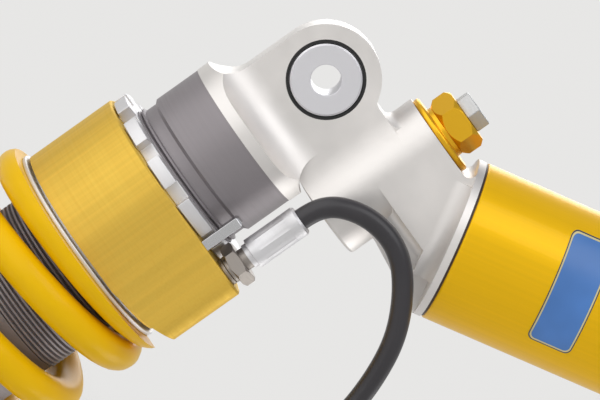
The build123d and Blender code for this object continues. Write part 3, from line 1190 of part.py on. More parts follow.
# Lower eye: lug, and above it a yoke with a window for the rebound wheel
with BuildPart() as lower_eye:
    eye_lug(LOWER_EYE_Z, YOKE_BOTTOM, LOWER_COVE_RADIUS, LOWER_SIDE_COVE, YOKE_DIAMETER)
    with BuildSketch(AXIS.offset(YOKE_BOTTOM)) as yoke:
        Circle(YOKE_DIAMETER / 2)
        Rectangle(EYE_THICKNESS, YOKE_DIAMETER, mode=Mode.INTERSECT)
    extrude(yoke.sketch, amount=YOKE_LENGTH)
    ring(AXIS, YOKE_FLANGE, 0, SHOULDER_Z - YOKE_FLANGE_THICKNESS, SHOULDER_Z)
    ring(AXIS, CUP_SPIGOT, 0, SHOULDER_Z, CUP_SPIGOT_TOP)
    with BuildSketch(AXIS.offset(WHEEL_BOTTOM - SLIDE_GAP)) as window:
        Rectangle(2 * YOKE_DIAMETER, WHEEL_DIAMETER + 2 * SLIDE_GAP)
    extrude(window.sketch, amount=WHEEL_TOP - WHEEL_BOTTOM + 2 * SLIDE_GAP, mode=Mode.SUBTRACT)
    ring(AXIS, SHAFT_DIAMETER, 0, SHOULDER_Z - YOKE_ROOF, CUP_SPIGOT_TOP, mode=Mode.SUBTRACT)
    ring(
        AXIS,
        WHEEL_PIN + 2 * FIT,
        0,
        WHEEL_BOTTOM - SLIDE_GAP - WHEEL_PIN / 2,
        WHEEL_BOTTOM,
        mode=Mode.SUBTRACT,
    )
    ring(LOWER_EYE, RACE_DIAMETER, 0, -EYE_THICKNESS, EYE_THICKNESS, mode=Mode.SUBTRACT)
finish(lower_eye, "lower_eye")

with BuildPart() as rebound_wheel:
    ring(AXIS, WHEEL_DIAMETER, 0, WHEEL_BOTTOM, WHEEL_TOP)
    with BuildSketch(AXIS.offset(WHEEL_BOTTOM)) as grip:
        with PolarLocations(WHEEL_DIAMETER / 2, WHEEL_GROOVES):
            Circle(WHEEL_GROOVE_DIAMETER / 2)
    extrude(grip.sketch, amount=WHEEL_TOP - WHEEL_BOTTOM, mode=Mode.SUBTRACT)
    ring(AXIS, WHEEL_PIN, 0, WHEEL_BOTTOM - WHEEL_PIN / 2, WHEEL_BOTTOM)
finish(rebound_wheel, "rebound_wheel")

# Lower spring seat: a deep cup around the spring's end
cup_outer = SPRING_OUTSIDE + 2 * SLIDE_GAP + 2 * CUP_WALL
with BuildPart() as lower_seat:
    ring(AXIS, cup_outer, 0, SHOULDER_Z, SPRING_BOTTOM)
    chamfer(lower_seat.edges().filter_by(GeomType.CIRCLE).group_by(Axis.Z)[0], CUP_WALL)
    ring(AXIS, cup_outer, SPRING_OUTSIDE + 2 * SLIDE_GAP, SPRING_BOTTOM, SPRING_BOTTOM + CUP_RIM)
    lip_bore = SEAT_LIP_DIAMETER - 2 * CUP_LIP_WALL
    ring(AXIS, SEAT_LIP_DIAMETER, lip_bore, SPRING_BOTTOM, SPRING_BOTTOM + CUP_LIP)
    ring(AXIS, CUP_SPIGOT, 0, SHOULDER_Z, SPRING_BOTTOM, mode=Mode.SUBTRACT)
finish(lower_seat, "lower_seat")

# The same bearing in each eye
half_width = BEARING_WIDTH / 2
half_race = RACE_WIDTH / 2
half_ball = BALL_WIDTH / 2
for end, plane in (("upper", UPPER_EYE), ("lower", LOWER_EYE)):
    with BuildPart() as race:
        ring(plane, RACE_DIAMETER, 0, -half_race, half_race)
        with Locations(plane.location):
            Sphere(BALL_DIAMETER / 2 + FIT, mode=Mode.SUBTRACT)
    finish(race, f"{end}_race")
    with BuildPart() as ball:
        with Locations(plane.location):
            Sphere(BALL_DIAMETER / 2)
        ring(plane, BALL_DIAMETER, 0, -half_ball, half_ball, mode=Mode.INTERSECT)
        ring(plane, BALL_BORE, 0, -half_ball, half_ball, mode=Mode.SUBTRACT)
    finish(ball, f"{end}_ball")
    with BuildPart() as spacers:
        for side in (plane, Plane(origin=plane.origin, x_dir=plane.x_dir, z_dir=-plane.z_dir)):
            ring(side, SPACER_DIAMETER, BOLT_BORE, half_ball, half_width - SPACER_CHAMFER)
            rim = SPACER_DIAMETER - 2 * SPACER_CHAMFER
            ring(side, rim, BOLT_BORE, half_width - SPACER_CHAMFER, half_width)
            ring(side, BALL_BORE, BOLT_BORE, FIT, half_ball)
    finish(spacers, f"{end}_spacers")
    with BuildPart() as seals:
        for side in (plane, Plane(origin=plane.origin, x_dir=plane.x_dir, z_dir=-plane.z_dir)):
            ring(side, RACE_DIAMETER, SPACER_DIAMETER + 2 * SEAL_GAP, half_race, half_race + SEAL_THICKNESS)
    finish(seals, f"{end}_seals")

# Remote adjuster: cylinder, plug, piston, spindle with its knob, and the bracket round it
with BuildPart() as remote_cylinder:
    ring(REMOTE, REMOTE_DIAMETER, 0, REMOTE_BOTTOM, REMOTE_TOP)
    chamfer(remote_cylinder.edges().filter_by(GeomType.CIRCLE), TUBE_CHAMFER)
    ring(REMOTE, REMOTE_BORE, 0, REMOTE_BOTTOM, REMOTE_TOP - REMOTE_ROOF, mode=Mode.SUBTRACT)
    ring(REMOTE, UNION_THREAD, 0, REMOTE_TOP - REMOTE_ROOF, REMOTE_TOP, mode=Mode.SUBTRACT)
finish(remote_cylinder, "remote_cylinder")

plug_top = REMOTE_BOTTOM + REMOTE_PLUG
with BuildPart() as remote_plug:
    ring(REMOTE, REMOTE_BORE, SPINDLE_DIAMETER + 2 * FIT, REMOTE_BOTTOM, plug_top)
finish(remote_plug, "remote_plug")

spindle_top = REMOTE_PISTON_BOTTOM + SPINDLE_LENGTH
with BuildPart() as remote_piston:
    piston_head = REMOTE_PISTON_BOTTOM + REMOTE_PISTON_LENGTH
    ring(REMOTE, REMOTE_BORE - 2 * FIT, 0, REMOTE_PISTON_BOTTOM, piston_head)
    bore_top = spindle_top + SLIDE_GAP
    ring(REMOTE, SPINDLE_DIAMETER + 2 * FIT, 0, REMOTE_PISTON_BOTTOM, bore_top, mode=Mode.SUBTRACT)
finish(remote_piston, "remote_piston")

with BuildPart() as preload_knob:
    ring(REMOTE, KNOB_DIAMETER, 0, KNOB_TOP - KNOB_HEIGHT, KNOB_TOP)
    scallop_centre = KNOB_DIAMETER / 2 + SCALLOP_DIAMETER / 2 - SCALLOP_DEPTH
    with BuildSketch(REMOTE.offset(KNOB_TOP - KNOB_HEIGHT)) as grip:
        with PolarLocations(scallop_centre, KNOB_SCALLOPS):
            Circle(SCALLOP_DIAMETER / 2)
    extrude(grip.sketch, amount=KNOB_HEIGHT, mode=Mode.SUBTRACT)
    ring(REMOTE, SPINDLE_DIAMETER, 0, KNOB_TOP, spindle_top)
finish(preload_knob, "preload_knob")

plate_half = BRACKET_SPACING / 2 + BRACKET_EAR
with BuildPart() as remote_bracket:
    ring(
        REMOTE,
        REMOTE_DIAMETER + 2 * BRACKET_BAND,
        0,
        BRACKET_Z - BRACKET_WIDTH / 2,
        BRACKET_Z + BRACKET_WIDTH / 2,
    )
    with BuildSketch(REMOTE.offset(BRACKET_Z - BRACKET_WIDTH / 2)) as plate:
        with Locations((0, BRACKET_FACE - BRACKET_PLATE / 2)):
            Rectangle(2 * plate_half, BRACKET_PLATE)
    extrude(plate.sketch, amount=BRACKET_WIDTH)
    ring(REMOTE, REMOTE_DIAMETER, 0, REMOTE_BOTTOM, REMOTE_TOP, mode=Mode.SUBTRACT)
    bolt_centre = (REMOTE_X, REMOTE_Y + BRACKET_FACE, BRACKET_Z)
    bolt_face = Plane(origin=bolt_centre, x_dir=(1, 0, 0), z_dir=(0, -1, 0))
    for side in (-1, 1):
        with BuildSketch(bolt_face) as hole:
            with Locations((side * BRACKET_SPACING / 2, 0)):
                Circle(BRACKET_HOLE / 2)
        extrude(hole.sketch, amount=2 * BRACKET_PLATE, both=True, mode=Mode.SUBTRACT)
finish(remote_bracket, "remote_bracket")
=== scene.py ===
# %% [markdown]
# # Dressing a motorcycle shock absorber
#
# The model comes out of CAD with every piece at its true size. Blender is only here for what CAD
# leaves out: broken edges, crimps, anodised colour, turning marks, rubber, and the light of a small
# photographic studio. Nothing in the frame is moved.

# %% Load the frame
import json
import math

import bpy
from mathutils import Matrix, Vector


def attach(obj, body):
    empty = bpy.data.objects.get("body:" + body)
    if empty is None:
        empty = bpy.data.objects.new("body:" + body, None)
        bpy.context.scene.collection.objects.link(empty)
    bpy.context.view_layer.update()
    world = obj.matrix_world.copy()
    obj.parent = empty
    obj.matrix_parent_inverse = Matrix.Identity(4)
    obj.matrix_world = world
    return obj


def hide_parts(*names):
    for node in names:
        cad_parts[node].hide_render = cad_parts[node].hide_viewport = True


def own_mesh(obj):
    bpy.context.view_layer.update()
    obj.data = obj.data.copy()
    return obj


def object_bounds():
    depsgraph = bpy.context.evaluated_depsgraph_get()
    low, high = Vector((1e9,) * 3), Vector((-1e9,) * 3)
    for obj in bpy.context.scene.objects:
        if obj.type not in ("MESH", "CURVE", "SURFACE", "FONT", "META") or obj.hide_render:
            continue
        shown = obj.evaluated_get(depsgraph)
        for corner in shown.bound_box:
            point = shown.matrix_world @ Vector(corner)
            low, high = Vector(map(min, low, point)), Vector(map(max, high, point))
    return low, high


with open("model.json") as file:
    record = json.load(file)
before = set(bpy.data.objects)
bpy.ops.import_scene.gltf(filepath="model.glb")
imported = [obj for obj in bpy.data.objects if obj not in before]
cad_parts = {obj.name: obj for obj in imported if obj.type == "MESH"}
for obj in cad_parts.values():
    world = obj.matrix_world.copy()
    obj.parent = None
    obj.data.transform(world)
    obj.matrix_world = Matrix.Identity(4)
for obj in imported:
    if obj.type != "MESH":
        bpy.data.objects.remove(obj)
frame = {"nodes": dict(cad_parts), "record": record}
nodes = frame["nodes"]
cad_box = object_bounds()
print("CAD box", [[round(value, 4) for value in corner] for corner in cad_box])

# %% [markdown]
# ## The camera
#
# The photograph looks along the eye bores, with the damper leaning to the upper right. A long lens
# stood more than a metre away, because the eye's spacer and the far rim of the reservoir hardly
# differ in scale. It stands a few degrees off the line of the bores, towards the top of the picture.
# The view is given as three directions: along the picture's width, up the picture, and back towards
# the lens.

# %% Camera
VIEW_TILT = math.radians(6.8)
PICTURE_RIGHT = Vector((0.579, 0.0, 0.8153))
ACROSS_DAMPER = Vector((-0.8153, 0.0, 0.579))
TOWARDS_FRONT = Vector((0.0, -1.0, 0.0))
PICTURE_UP = math.cos(VIEW_TILT) * ACROSS_DAMPER - math.sin(VIEW_TILT) * TOWARDS_FRONT
PICTURE_BACK = math.cos(VIEW_TILT) * TOWARDS_FRONT + math.sin(VIEW_TILT) * ACROSS_DAMPER
PICTURE_CENTRE = Vector((0.0279, 0.0, -0.0301))
CAMERA_DISTANCE = 1.172
LENS_MM = 216
SENSOR_MM = 36
NEAREST_SEEN = 0.05


def from_picture(right, up, back):
    """A point by its distances from the picture's centre, along the picture's three directions."""
    return PICTURE_CENTRE + PICTURE_RIGHT * right + PICTURE_UP * up + PICTURE_BACK * back


def facing_picture_centre(place):
    """The turn that makes a camera or a lamp at a place look at the picture's centre."""
    return (PICTURE_CENTRE - place).to_track_quat("-Z", "Y").to_euler()


bpy.ops.object.select_all(action="DESELECT")
bpy.ops.object.camera_add(location=from_picture(0, 0, CAMERA_DISTANCE))
camera = bpy.context.object
camera.name = "studio_camera"
turn = Matrix((PICTURE_RIGHT, PICTURE_UP, PICTURE_BACK)).transposed()
camera.rotation_euler = turn.to_euler()
camera.data.lens = LENS_MM
camera.data.sensor_width = SENSOR_MM
camera.data.clip_start = NEAREST_SEEN
bpy.context.scene.camera = camera
print("camera stands at", [round(value, 3) for value in camera.location])

# %% [markdown]
# ## Small helpers for hand work
#
# Operators act on everything that is selected, so each piece starts by clearing the selection. When
# a piece is done, its place goes into its mesh and its object lies at the origin, so that a pattern
# on object coordinates stays put. Points closer than SAME_POINT are one point.

# %% Hand-work helpers
BODIES = frame["record"]["behaviour"]["bodies"]
BODY_OF = {node: body for body, members in BODIES.items() for node in members}
SAME_POINT = 0.000002


def choose(piece):
    """Selects one piece and nothing else."""
    if bpy.context.object and bpy.context.object.mode != "OBJECT":
        bpy.ops.object.mode_set(mode="OBJECT")
    bpy.ops.object.select_all(action="DESELECT")
    piece.select_set(True)
    bpy.context.view_layer.objects.active = piece


def apply_modifiers(piece):
    """Applies every modifier of a piece, in order."""
    choose(piece)
    for modifier in list(piece.modifiers):
        bpy.ops.object.modifier_apply(modifier=modifier.name)


def edit_all(piece):
    """Opens a piece for editing, with all of its mesh selected."""
    choose(piece)
    bpy.ops.object.mode_set(mode="EDIT")
    bpy.ops.mesh.select_all(action="SELECT")


def empty_curve(name, kind, point_count):
    """A new curve with one spline, whose points still wait for their places."""
    bpy.ops.object.select_all(action="DESELECT")
    bpy.ops.curve.primitive_nurbs_path_add()
    curve = bpy.context.object
    curve.name = name
    curve.data.splines.clear()
    spline = curve.data.splines.new(kind)
    spline.points.add(point_count - 1)
    return curve, spline


def settle(piece, name, smooth_angle=35):
    """Names a piece, puts its place into its mesh, and smooths it up to an angle."""
    choose(piece)
    bpy.ops.object.transform_apply(location=True, rotation=True, scale=True)
    bpy.ops.object.shade_smooth_by_angle(angle=math.radians(smooth_angle))
    piece.name = name
    piece.data.name = name


def stand_in(piece, node, *more):
    """A piece takes the place and the body of the CAD nodes that it stands for."""
    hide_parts(node, *more)
    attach(piece, BODY_OF[node])


# %% [markdown]
# ## The preload hose
#
# A thin hydraulic hose leaves its ferrule upwards, bends over in front of the valve boss and hangs
# down to the remote adjuster. A smooth spline on the route's corners makes it. The order is set
# after the points, because a spline keeps only the order that its points allow. Each point carries
# the hose's radius, and the bevel of 1 multiplies it.

# %% Hose
HOSE_DIAMETER = 0.007
HOSE_SPLINE_ORDER = 3
HOSE_STEPS_PER_POINT = 16
HOSE_ROUNDNESS = 8
HOSE_ROUTE_MM = [
    (30.79, -25.09, -31.8),
    (30.79, -25.09, -26.7),
    (33.4, -25.1, -20.6),
    (39.0, -25.1, -15.8),
    (45.4, -25.1, -13.0),
    (52.3, -25.1, -12.0),
    (59.3, -25.0, -13.2),
    (65.4, -24.8, -16.4),
    (71.6, -24.8, -21.1),
    (77.5, -24.6, -27.0),
    (82.2, -24.4, -33.8),
    (86.6, -24.2, -43.3),
    (89.9, -24.0, -53.5),
    (92.0, -24.0, -65.0),
    (93.0, -24.2, -80.0),
    (92.6, -24.6, -98.0),
    (93.4, -24.9, -120.0),
    (92.8, -24.7, -144.0),
    (93.0, -24.5, -168.0),
    (93.0, -24.5, -189.5),
]
hose, spline = empty_curve("hydraulic_hose", "NURBS", len(HOSE_ROUTE_MM))
for point, place in zip(spline.points, HOSE_ROUTE_MM):
    point.co = (place[0] / 1000, place[1] / 1000, place[2] / 1000, 1)
    point.radius = HOSE_DIAMETER / 2
spline.order_u = HOSE_SPLINE_ORDER
spline.use_endpoint_u = True
hose.data.resolution_u = HOSE_STEPS_PER_POINT
hose.data.bevel_depth = 1.0
hose.data.bevel_resolution = HOSE_ROUNDNESS
hose.data.use_fill_caps = True
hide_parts("preload_hose")
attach(hose, "damper_body")
print("hose:", len(spline.points), "points on its route")

# %% [markdown]
# ## The floor
#
# The floor is plain and pale and lies just under the lower eye. Far from the part it turns clear, so
# that it melts into the backdrop and no horizon runs behind the part.

# %% Floor
bpy.context.scene.view_settings.view_transform = "Standard"
FLOOR_GAP = 0.0005
FLOOR_Z = cad_box[0].z - FLOOR_GAP
FLOOR_RADIUS = 1.5
FLOOR_SIDES = 96
SOLID_FLOOR = 0.45
CLEAR_FLOOR = FLOOR_RADIUS * 0.95
BACKDROP = (0.80, 0.795, 0.785)
PAPER_ROUGHNESS = 0.9
PAPER_SHINE = 0.1


def link_chain(tree, *sockets):
    """Links sockets in pairs: the first of each pair feeds the second."""
    for source, target in zip(sockets[::2], sockets[1::2]):
        tree.links.new(source, target)


bpy.ops.object.select_all(action="DESELECT")
bpy.ops.mesh.primitive_circle_add(
    vertices=FLOOR_SIDES, radius=FLOOR_RADIUS, fill_type="NGON", location=(0, 0, FLOOR_Z)
)
floor = bpy.context.object
floor.name = "studio_floor"
floor_paper = bpy.data.materials.new("pale_paper")
floor_paper.use_nodes = True
tree = floor_paper.node_tree
paper = tree.nodes["Principled BSDF"]
paper.inputs["Base Color"].default_value = (*BACKDROP, 1)
paper.inputs["Roughness"].default_value = PAPER_ROUGHNESS
paper.inputs["Specular IOR Level"].default_value = PAPER_SHINE
place = tree.nodes.new("ShaderNodeTexCoord")
distance = tree.nodes.new("ShaderNodeVectorMath")
distance.operation = "LENGTH"
fade = tree.nodes.new("ShaderNodeMapRange")
fade.interpolation_type = "SMOOTHSTEP"
fade.inputs["From Min"].default_value = SOLID_FLOOR
fade.inputs["From Max"].default_value = CLEAR_FLOOR
clear = tree.nodes.new("ShaderNodeBsdfTransparent")
blend = tree.nodes.new("ShaderNodeMixShader")
link_chain(
    tree,
    place.outputs["Object"], distance.inputs[0],
    distance.outputs["Value"], fade.inputs["Value"],
    fade.outputs["Result"], blend.inputs["Fac"],
    paper.outputs[0], blend.inputs[1],
    clear.outputs[0], blend.inputs[2],
    blend.outputs[0], tree.nodes["Material Output"].inputs["Surface"],
)
floor.data.materials.append(floor_paper)
print("floor under the part at", round(FLOOR_Z, 4), "and clear from", CLEAR_FLOOR, "m on")

# %% [markdown]
# ## The background
#
# The camera sees an even pale backdrop. Metal mirrors another, a little darker and darkest overhead,
# so that polished pieces have something to show. The rest of the world's light is gentle, and the
# lamps do the modelling. Each mirrored tone is a height and a colour, with 0 straight down and 1
# straight up.

# %% World
GENTLE_LIGHT = (0.97, 0.98, 1.0)
GENTLE_STRENGTH = 0.5
LOW_TONE = (0.2, (0.56, 0.55, 0.54))
MIDDLE_TONE = (0.55, (0.70, 0.70, 0.69))
HIGH_TONE = (0.9, (0.42, 0.43, 0.45))

world = bpy.data.worlds.new("studio_world")
bpy.context.scene.world = world
world.use_nodes = True
tree = world.node_tree
tree.nodes.clear()
output = tree.nodes.new("ShaderNodeOutputWorld")
backdrop = tree.nodes.new("ShaderNodeBackground")
backdrop.inputs["Color"].default_value = (*BACKDROP, 1)
mirrored = tree.nodes.new("ShaderNodeBackground")
lighting = tree.nodes.new("ShaderNodeBackground")
lighting.inputs["Color"].default_value = (*GENTLE_LIGHT, 1)
lighting.inputs["Strength"].default_value = GENTLE_STRENGTH
rays = tree.nodes.new("ShaderNodeLightPath")
direction = tree.nodes.new("ShaderNodeTexCoord")
split = tree.nodes.new("ShaderNodeSeparateXYZ")
height = tree.nodes.new("ShaderNodeMapRange")
height.inputs["From Min"].default_value = -1
height.inputs["From Max"].default_value = 1
ramp = tree.nodes.new("ShaderNodeValToRGB")
low, high = ramp.color_ramp.elements
low.position, high.position = LOW_TONE[0], HIGH_TONE[0]
low.color, high.color = (*LOW_TONE[1], 1), (*HIGH_TONE[1], 1)
middle = ramp.color_ramp.elements.new(MIDDLE_TONE[0])
middle.color = (*MIDDLE_TONE[1], 1)
for_camera = tree.nodes.new("ShaderNodeMath")
for_camera.operation = "MAXIMUM"
with_mirror = tree.nodes.new("ShaderNodeMixShader")
with_backdrop = tree.nodes.new("ShaderNodeMixShader")
link_chain(
    tree,
    direction.outputs["Generated"], split.inputs[0],
    split.outputs["Z"], height.inputs["Value"],
    height.outputs["Result"], ramp.inputs["Fac"],
    ramp.outputs["Color"], mirrored.inputs["Color"],
    rays.outputs["Is Glossy Ray"], with_mirror.inputs["Fac"],
    lighting.outputs[0], with_mirror.inputs[1],
    mirrored.outputs[0], with_mirror.inputs[2],
    rays.outputs["Is Camera Ray"], for_camera.inputs[0],
    rays.outputs["Is Transmission Ray"], for_camera.inputs[1],
    for_camera.outputs[0], with_backdrop.inputs["Fac"],
    with_mirror.outputs[0], with_backdrop.inputs[1],
    backdrop.outputs[0], with_backdrop.inputs[2],
    with_backdrop.outputs[0], output.inputs["Surface"],
)
print("world:", len(tree.nodes), "nodes")

# %% [markdown]
# ## Lamps
#
# Four soft boxes light the part: a large one high on the left, a fill high on the right, a narrow one
# low on the right that draws a rim, and one behind. Each has its place from the picture's centre
# (right, up, back), its width and height, and its watts. All of them face the picture's centre.

# %% Lamps
LAMPS = [
    ("key_box", (-0.45, 0.75, 0.7), (1.8, 1.5), 7.0),
    ("fill_box", (0.75, 0.55, 0.75), (0.9, 0.8), 3.6),
    ("rim_box", (0.6, -0.95, -0.3), (0.8, 0.5), 2.5),
    ("back_box", (0.2, 0.5, -0.9), (0.9, 0.5), 3.0),
]
for name, place, size, power in LAMPS:
    bpy.ops.object.select_all(action="DESELECT")
    bpy.ops.object.light_add(type="AREA", location=from_picture(*place))
    lamp = bpy.context.object
    lamp.name = name
    lamp.rotation_euler = facing_picture_centre(lamp.location)
    lamp.data.shape = "RECTANGLE"
    lamp.data.size, lamp.data.size_y = size
    lamp.data.energy = power
print(len(LAMPS), "lamps")

# %% [markdown]
# ## Metal finishes
#
# Every turned piece carries faint rings round its own axis. A noise that reads the distance from
# that axis and the height along it, but hardly the angle, draws such rings on the sides and on the
# end faces alike. It roughens and dents the surface a little. Anodised aluminium keeps the rings and
# adds its colour, with thin lighter and darker streaks along the axis painted into the colour: partly
# uneven dye, partly painted reflection streaks.
#
# An axis is a point on it and the turn that brings Z along it. The reservoir rises by so many degrees
# from level. NOISE_REACH is where a noise mostly lies, and RING_DRIFT is how much the rings may
# wander on their way round.

# %% Turned metal
RESERVOIR_RISE = 31
FITTING_PLACE = (0.03079, -0.02509)
REMOTE_PLACE = (0.093, -0.0245)
DAMPER_AXIS = ((0, 0, 0), (0, 0, 0))
RESERVOIR_AXIS = ((0.0671, 0, 0.003), (0, math.radians(90 - RESERVOIR_RISE), 0))
BOSS_AXIS = ((0.0368, 0, 0), (0, 0, 0))
EYE_AXIS = ((0, 0, 0), (math.radians(90), 0, 0))
LOWER_EYE_AXIS = ((0, 0, -0.302), (math.radians(90), 0, 0))
FITTING_AXIS = ((*FITTING_PLACE, 0), (0, 0, 0))
REMOTE_AXIS = ((*REMOTE_PLACE, 0), (0, 0, 0))
NOISE_DETAIL = 3
NOISE_REACH = (0.3, 0.7)
COLOUR_STEPS = (0.35, 0.65)
ROUGHNESS_SPAN = (0.9, 1.12)
RING_DRIFT = 0.15
STREAK_SCALES = (22, 5, 5)
LIGHT_STREAK_SHARE = 0.6


def blank_material(name, colour, metallic, roughness):
    """A new material, its node tree and its Principled shader."""
    material = bpy.data.materials.new(name)
    material.use_nodes = True
    shader = material.node_tree.nodes["Principled BSDF"]
    shader.inputs["Base Color"].default_value = (*colour, 1)
    shader.inputs["Metallic"].default_value = metallic
    shader.inputs["Roughness"].default_value = roughness
    return material, material.node_tree, shader


def axis_coordinates(tree, axis):
    """Sockets for the distance from an axis, the height along it and the angle round it."""
    place, turn = axis
    coordinates = tree.nodes.new("ShaderNodeTexCoord")
    mapping = tree.nodes.new("ShaderNodeMapping")
    mapping.vector_type = "TEXTURE"
    mapping.inputs["Location"].default_value = place
    mapping.inputs["Rotation"].default_value = turn
    split = tree.nodes.new("ShaderNodeSeparateXYZ")
    flat = tree.nodes.new("ShaderNodeCombineXYZ")
    distance = tree.nodes.new("ShaderNodeVectorMath")
    distance.operation = "LENGTH"
    angle = tree.nodes.new("ShaderNodeMath")
    angle.operation = "ARCTAN2"
    tree.links.new(coordinates.outputs["Object"], mapping.inputs["Vector"])
    tree.links.new(mapping.outputs["Vector"], split.inputs[0])
    tree.links.new(split.outputs["X"], flat.inputs["X"])
    tree.links.new(split.outputs["Y"], flat.inputs["Y"])
    tree.links.new(flat.outputs[0], distance.inputs[0])
    tree.links.new(split.outputs["Y"], angle.inputs[0])
    tree.links.new(split.outputs["X"], angle.inputs[1])
    return distance.outputs["Value"], split.outputs["Z"], angle.outputs[0]


def scaled_noise(tree, sockets, scales):
    """Noise over three sockets, each multiplied by its own scale."""
    joined = tree.nodes.new("ShaderNodeCombineXYZ")
    for index, (socket, scale) in enumerate(zip(sockets, scales)):
        product = tree.nodes.new("ShaderNodeMath")
        product.operation = "MULTIPLY"
        product.inputs[1].default_value = scale
        tree.links.new(socket, product.inputs[0])
        tree.links.new(product.outputs[0], joined.inputs[index])
    noise = tree.nodes.new("ShaderNodeTexNoise")
    noise.inputs["Scale"].default_value = 1.0
    noise.inputs["Detail"].default_value = NOISE_DETAIL
    tree.links.new(joined.outputs[0], noise.inputs["Vector"])
    return noise.outputs["Fac"]


def vary_roughness(tree, shader, noise, low, high):
    """Lets a noise move the roughness between two values."""
    reach = tree.nodes.new("ShaderNodeMapRange")
    reach.inputs["From Min"].default_value, reach.inputs["From Max"].default_value = NOISE_REACH
    reach.inputs["To Min"].default_value = low
    reach.inputs["To Max"].default_value = high
    tree.links.new(noise, reach.inputs["Value"])
    tree.links.new(reach.outputs["Result"], shader.inputs["Roughness"])


def vary_colour(tree, shader, noise, dark, light):
    """Lets a noise move the colour between two tones."""
    blend = tree.nodes.new("ShaderNodeValToRGB")
    for element, position, colour in zip(blend.color_ramp.elements, COLOUR_STEPS, (dark, light)):
        element.position = position
        element.color = (*colour, 1)
    tree.links.new(noise, blend.inputs["Fac"])
    tree.links.new(blend.outputs["Color"], shader.inputs["Base Color"])


def tones(colour, darker, lighter):
    """A darker and a lighter tone of a colour, each by its share."""
    dark = tuple(value * (1 - darker) for value in colour)
    light = tuple(min(1, value * (1 + lighter)) for value in colour)
    return dark, light


def dent(tree, shader, noise, depth, strength=0.5):
    """Turns a noise into a shallow bump, its depth in metres."""
    bump = tree.nodes.new("ShaderNodeBump")
    bump.inputs["Strength"].default_value = strength
    bump.inputs["Distance"].default_value = depth
    tree.links.new(noise, bump.inputs["Height"])
    tree.links.new(bump.outputs["Normal"], shader.inputs["Normal"])


def turned_metal(name, colour, axis, roughness=0.25, ring=0.0006, depth=0.000004, streaks=0.0):
    """A lathe-turned finish round an axis: rings of about the given width, and streaks along it."""
    material, tree, shader = blank_material(name, colour, 1.0, roughness)
    distance, height, angle = axis_coordinates(tree, axis)
    rings = scaled_noise(tree, (distance, height, angle), (1 / ring, 1 / ring, RING_DRIFT))
    vary_roughness(tree, shader, rings, *(roughness * share for share in ROUGHNESS_SPAN))
    dent(tree, shader, rings, depth)
    if streaks:
        # Streaks along the axis are painted into the colour: partly uneven dye, partly painted reflection
        # streaks.
        dye_and_sheen_streaks = scaled_noise(tree, (angle, height, distance), STREAK_SCALES)
        vary_colour(tree, shader, dye_and_sheen_streaks, *tones(colour, streaks, streaks * LIGHT_STREAK_SHARE))
    return material


def tune(material, **values):
    """Sets inputs of a material's shader, each by its name with _ for a space."""
    shader = material.node_tree.nodes["Principled BSDF"]
    for name, value in values.items():
        shader.inputs[name.replace("_", " ")].default_value = value


# %% [markdown]
# One metal that is turned round different axes is a material for each, so that the rings follow the
# piece. The colours are what the anodising or the plating leaves.

# %% The turned pieces' metals
gold_on_damper = turned_metal(
    "gold_anodised_turned", (0.80, 0.54, 0.095), DAMPER_AXIS, 0.58, depth=0.0000005, streaks=0.05
)
gold_on_boss = turned_metal("gold_anodised_boss", (0.88, 0.50, 0.03), BOSS_AXIS, 0.36, depth=0.000001)
dark_tube = turned_metal("hard_anodised_grey", (0.30, 0.275, 0.285), DAMPER_AXIS, 0.5, depth=0.000002)
tune(dark_tube, Metallic=0.6)
bright_ring = turned_metal("satin_silver", (0.78, 0.77, 0.78), DAMPER_AXIS, 0.5)
bright_boss = turned_metal("satin_silver_boss", (0.56, 0.56, 0.56), BOSS_AXIS, 0.5)
steel_damper = turned_metal("turned_steel", (0.60, 0.60, 0.61), DAMPER_AXIS, 0.24)
steel_fitting = turned_metal("plated_steel_fitting", (0.38, 0.345, 0.315), FITTING_AXIS, 0.46)
crimped_steel = turned_metal("crimped_steel", (0.76, 0.75, 0.76), FITTING_AXIS, 0.52)
steel_remote = turned_metal("plated_steel_remote", (0.38, 0.345, 0.315), REMOTE_AXIS, 0.46)
crimped_remote = turned_metal("crimped_steel_remote", (0.76, 0.75, 0.76), REMOTE_AXIS, 0.52)
spacer_upper, spacer_lower = (
    turned_metal(name, (0.80, 0.79, 0.82), axis, 0.38, ring=0.0004, depth=0.000001)
    for name, axis in (("faced_steel_upper", EYE_AXIS), ("faced_steel_lower", LOWER_EYE_AXIS))
)
aluminium_remote = turned_metal(
    "satin_aluminium_remote", (0.66, 0.65, 0.64), REMOTE_AXIS, 0.38, depth=0.000001
)
black_remote = turned_metal("black_anodised_remote", (0.035, 0.035, 0.038), REMOTE_AXIS, 0.3)
black_damper = turned_metal("black_anodised_wheel", (0.035, 0.035, 0.038), DAMPER_AXIS, 0.3)
black_reservoir = turned_metal("black_anodised_cap", (0.035, 0.035, 0.038), RESERVOIR_AXIS, 0.3)
chromed = turned_metal("hard_chrome", (0.80, 0.80, 0.81), DAMPER_AXIS, 0.06, depth=0.000002)
bronze = turned_metal("bush_bronze", (0.50, 0.30, 0.13), DAMPER_AXIS, 0.35)
brass_boss = turned_metal("turned_brass_boss", (0.66, 0.46, 0.18), BOSS_AXIS, 0.25)
brass_reservoir = turned_metal("turned_brass_valve", (0.66, 0.46, 0.18), RESERVOIR_AXIS, 0.25)
print(len(bpy.data.materials), "materials so far")

# %% [markdown]
# The reservoir is drawn tube with a deep yellow dye under a glossy seal, more orange than the gold of
# the housing. A coat layer gives the gloss, and the colour varies a little round the tube: partly
# uneven dye, partly painted reflection streaks.

# %% Reservoir finish
reservoir_gold = turned_metal(
    "reservoir_anodised",
    (0.93, 0.53, 0.003),
    RESERVOIR_AXIS,
    0.34,
    ring=0.0009,
    depth=0.0000003,
    streaks=0.03,
)
tune(reservoir_gold, Metallic=0.35, Specular_IOR_Level=0.1, Coat_Weight=0.2, Coat_Roughness=0.08)
print("reservoir finish:", reservoir_gold.name)

# %% [markdown]
# The head is milled from a block, then blasted with fine beads and anodised clear. Beads leave no
# direction, so its noise is the same every way: a very fine grain, and broad soft clouds where the
# blasting was uneven.

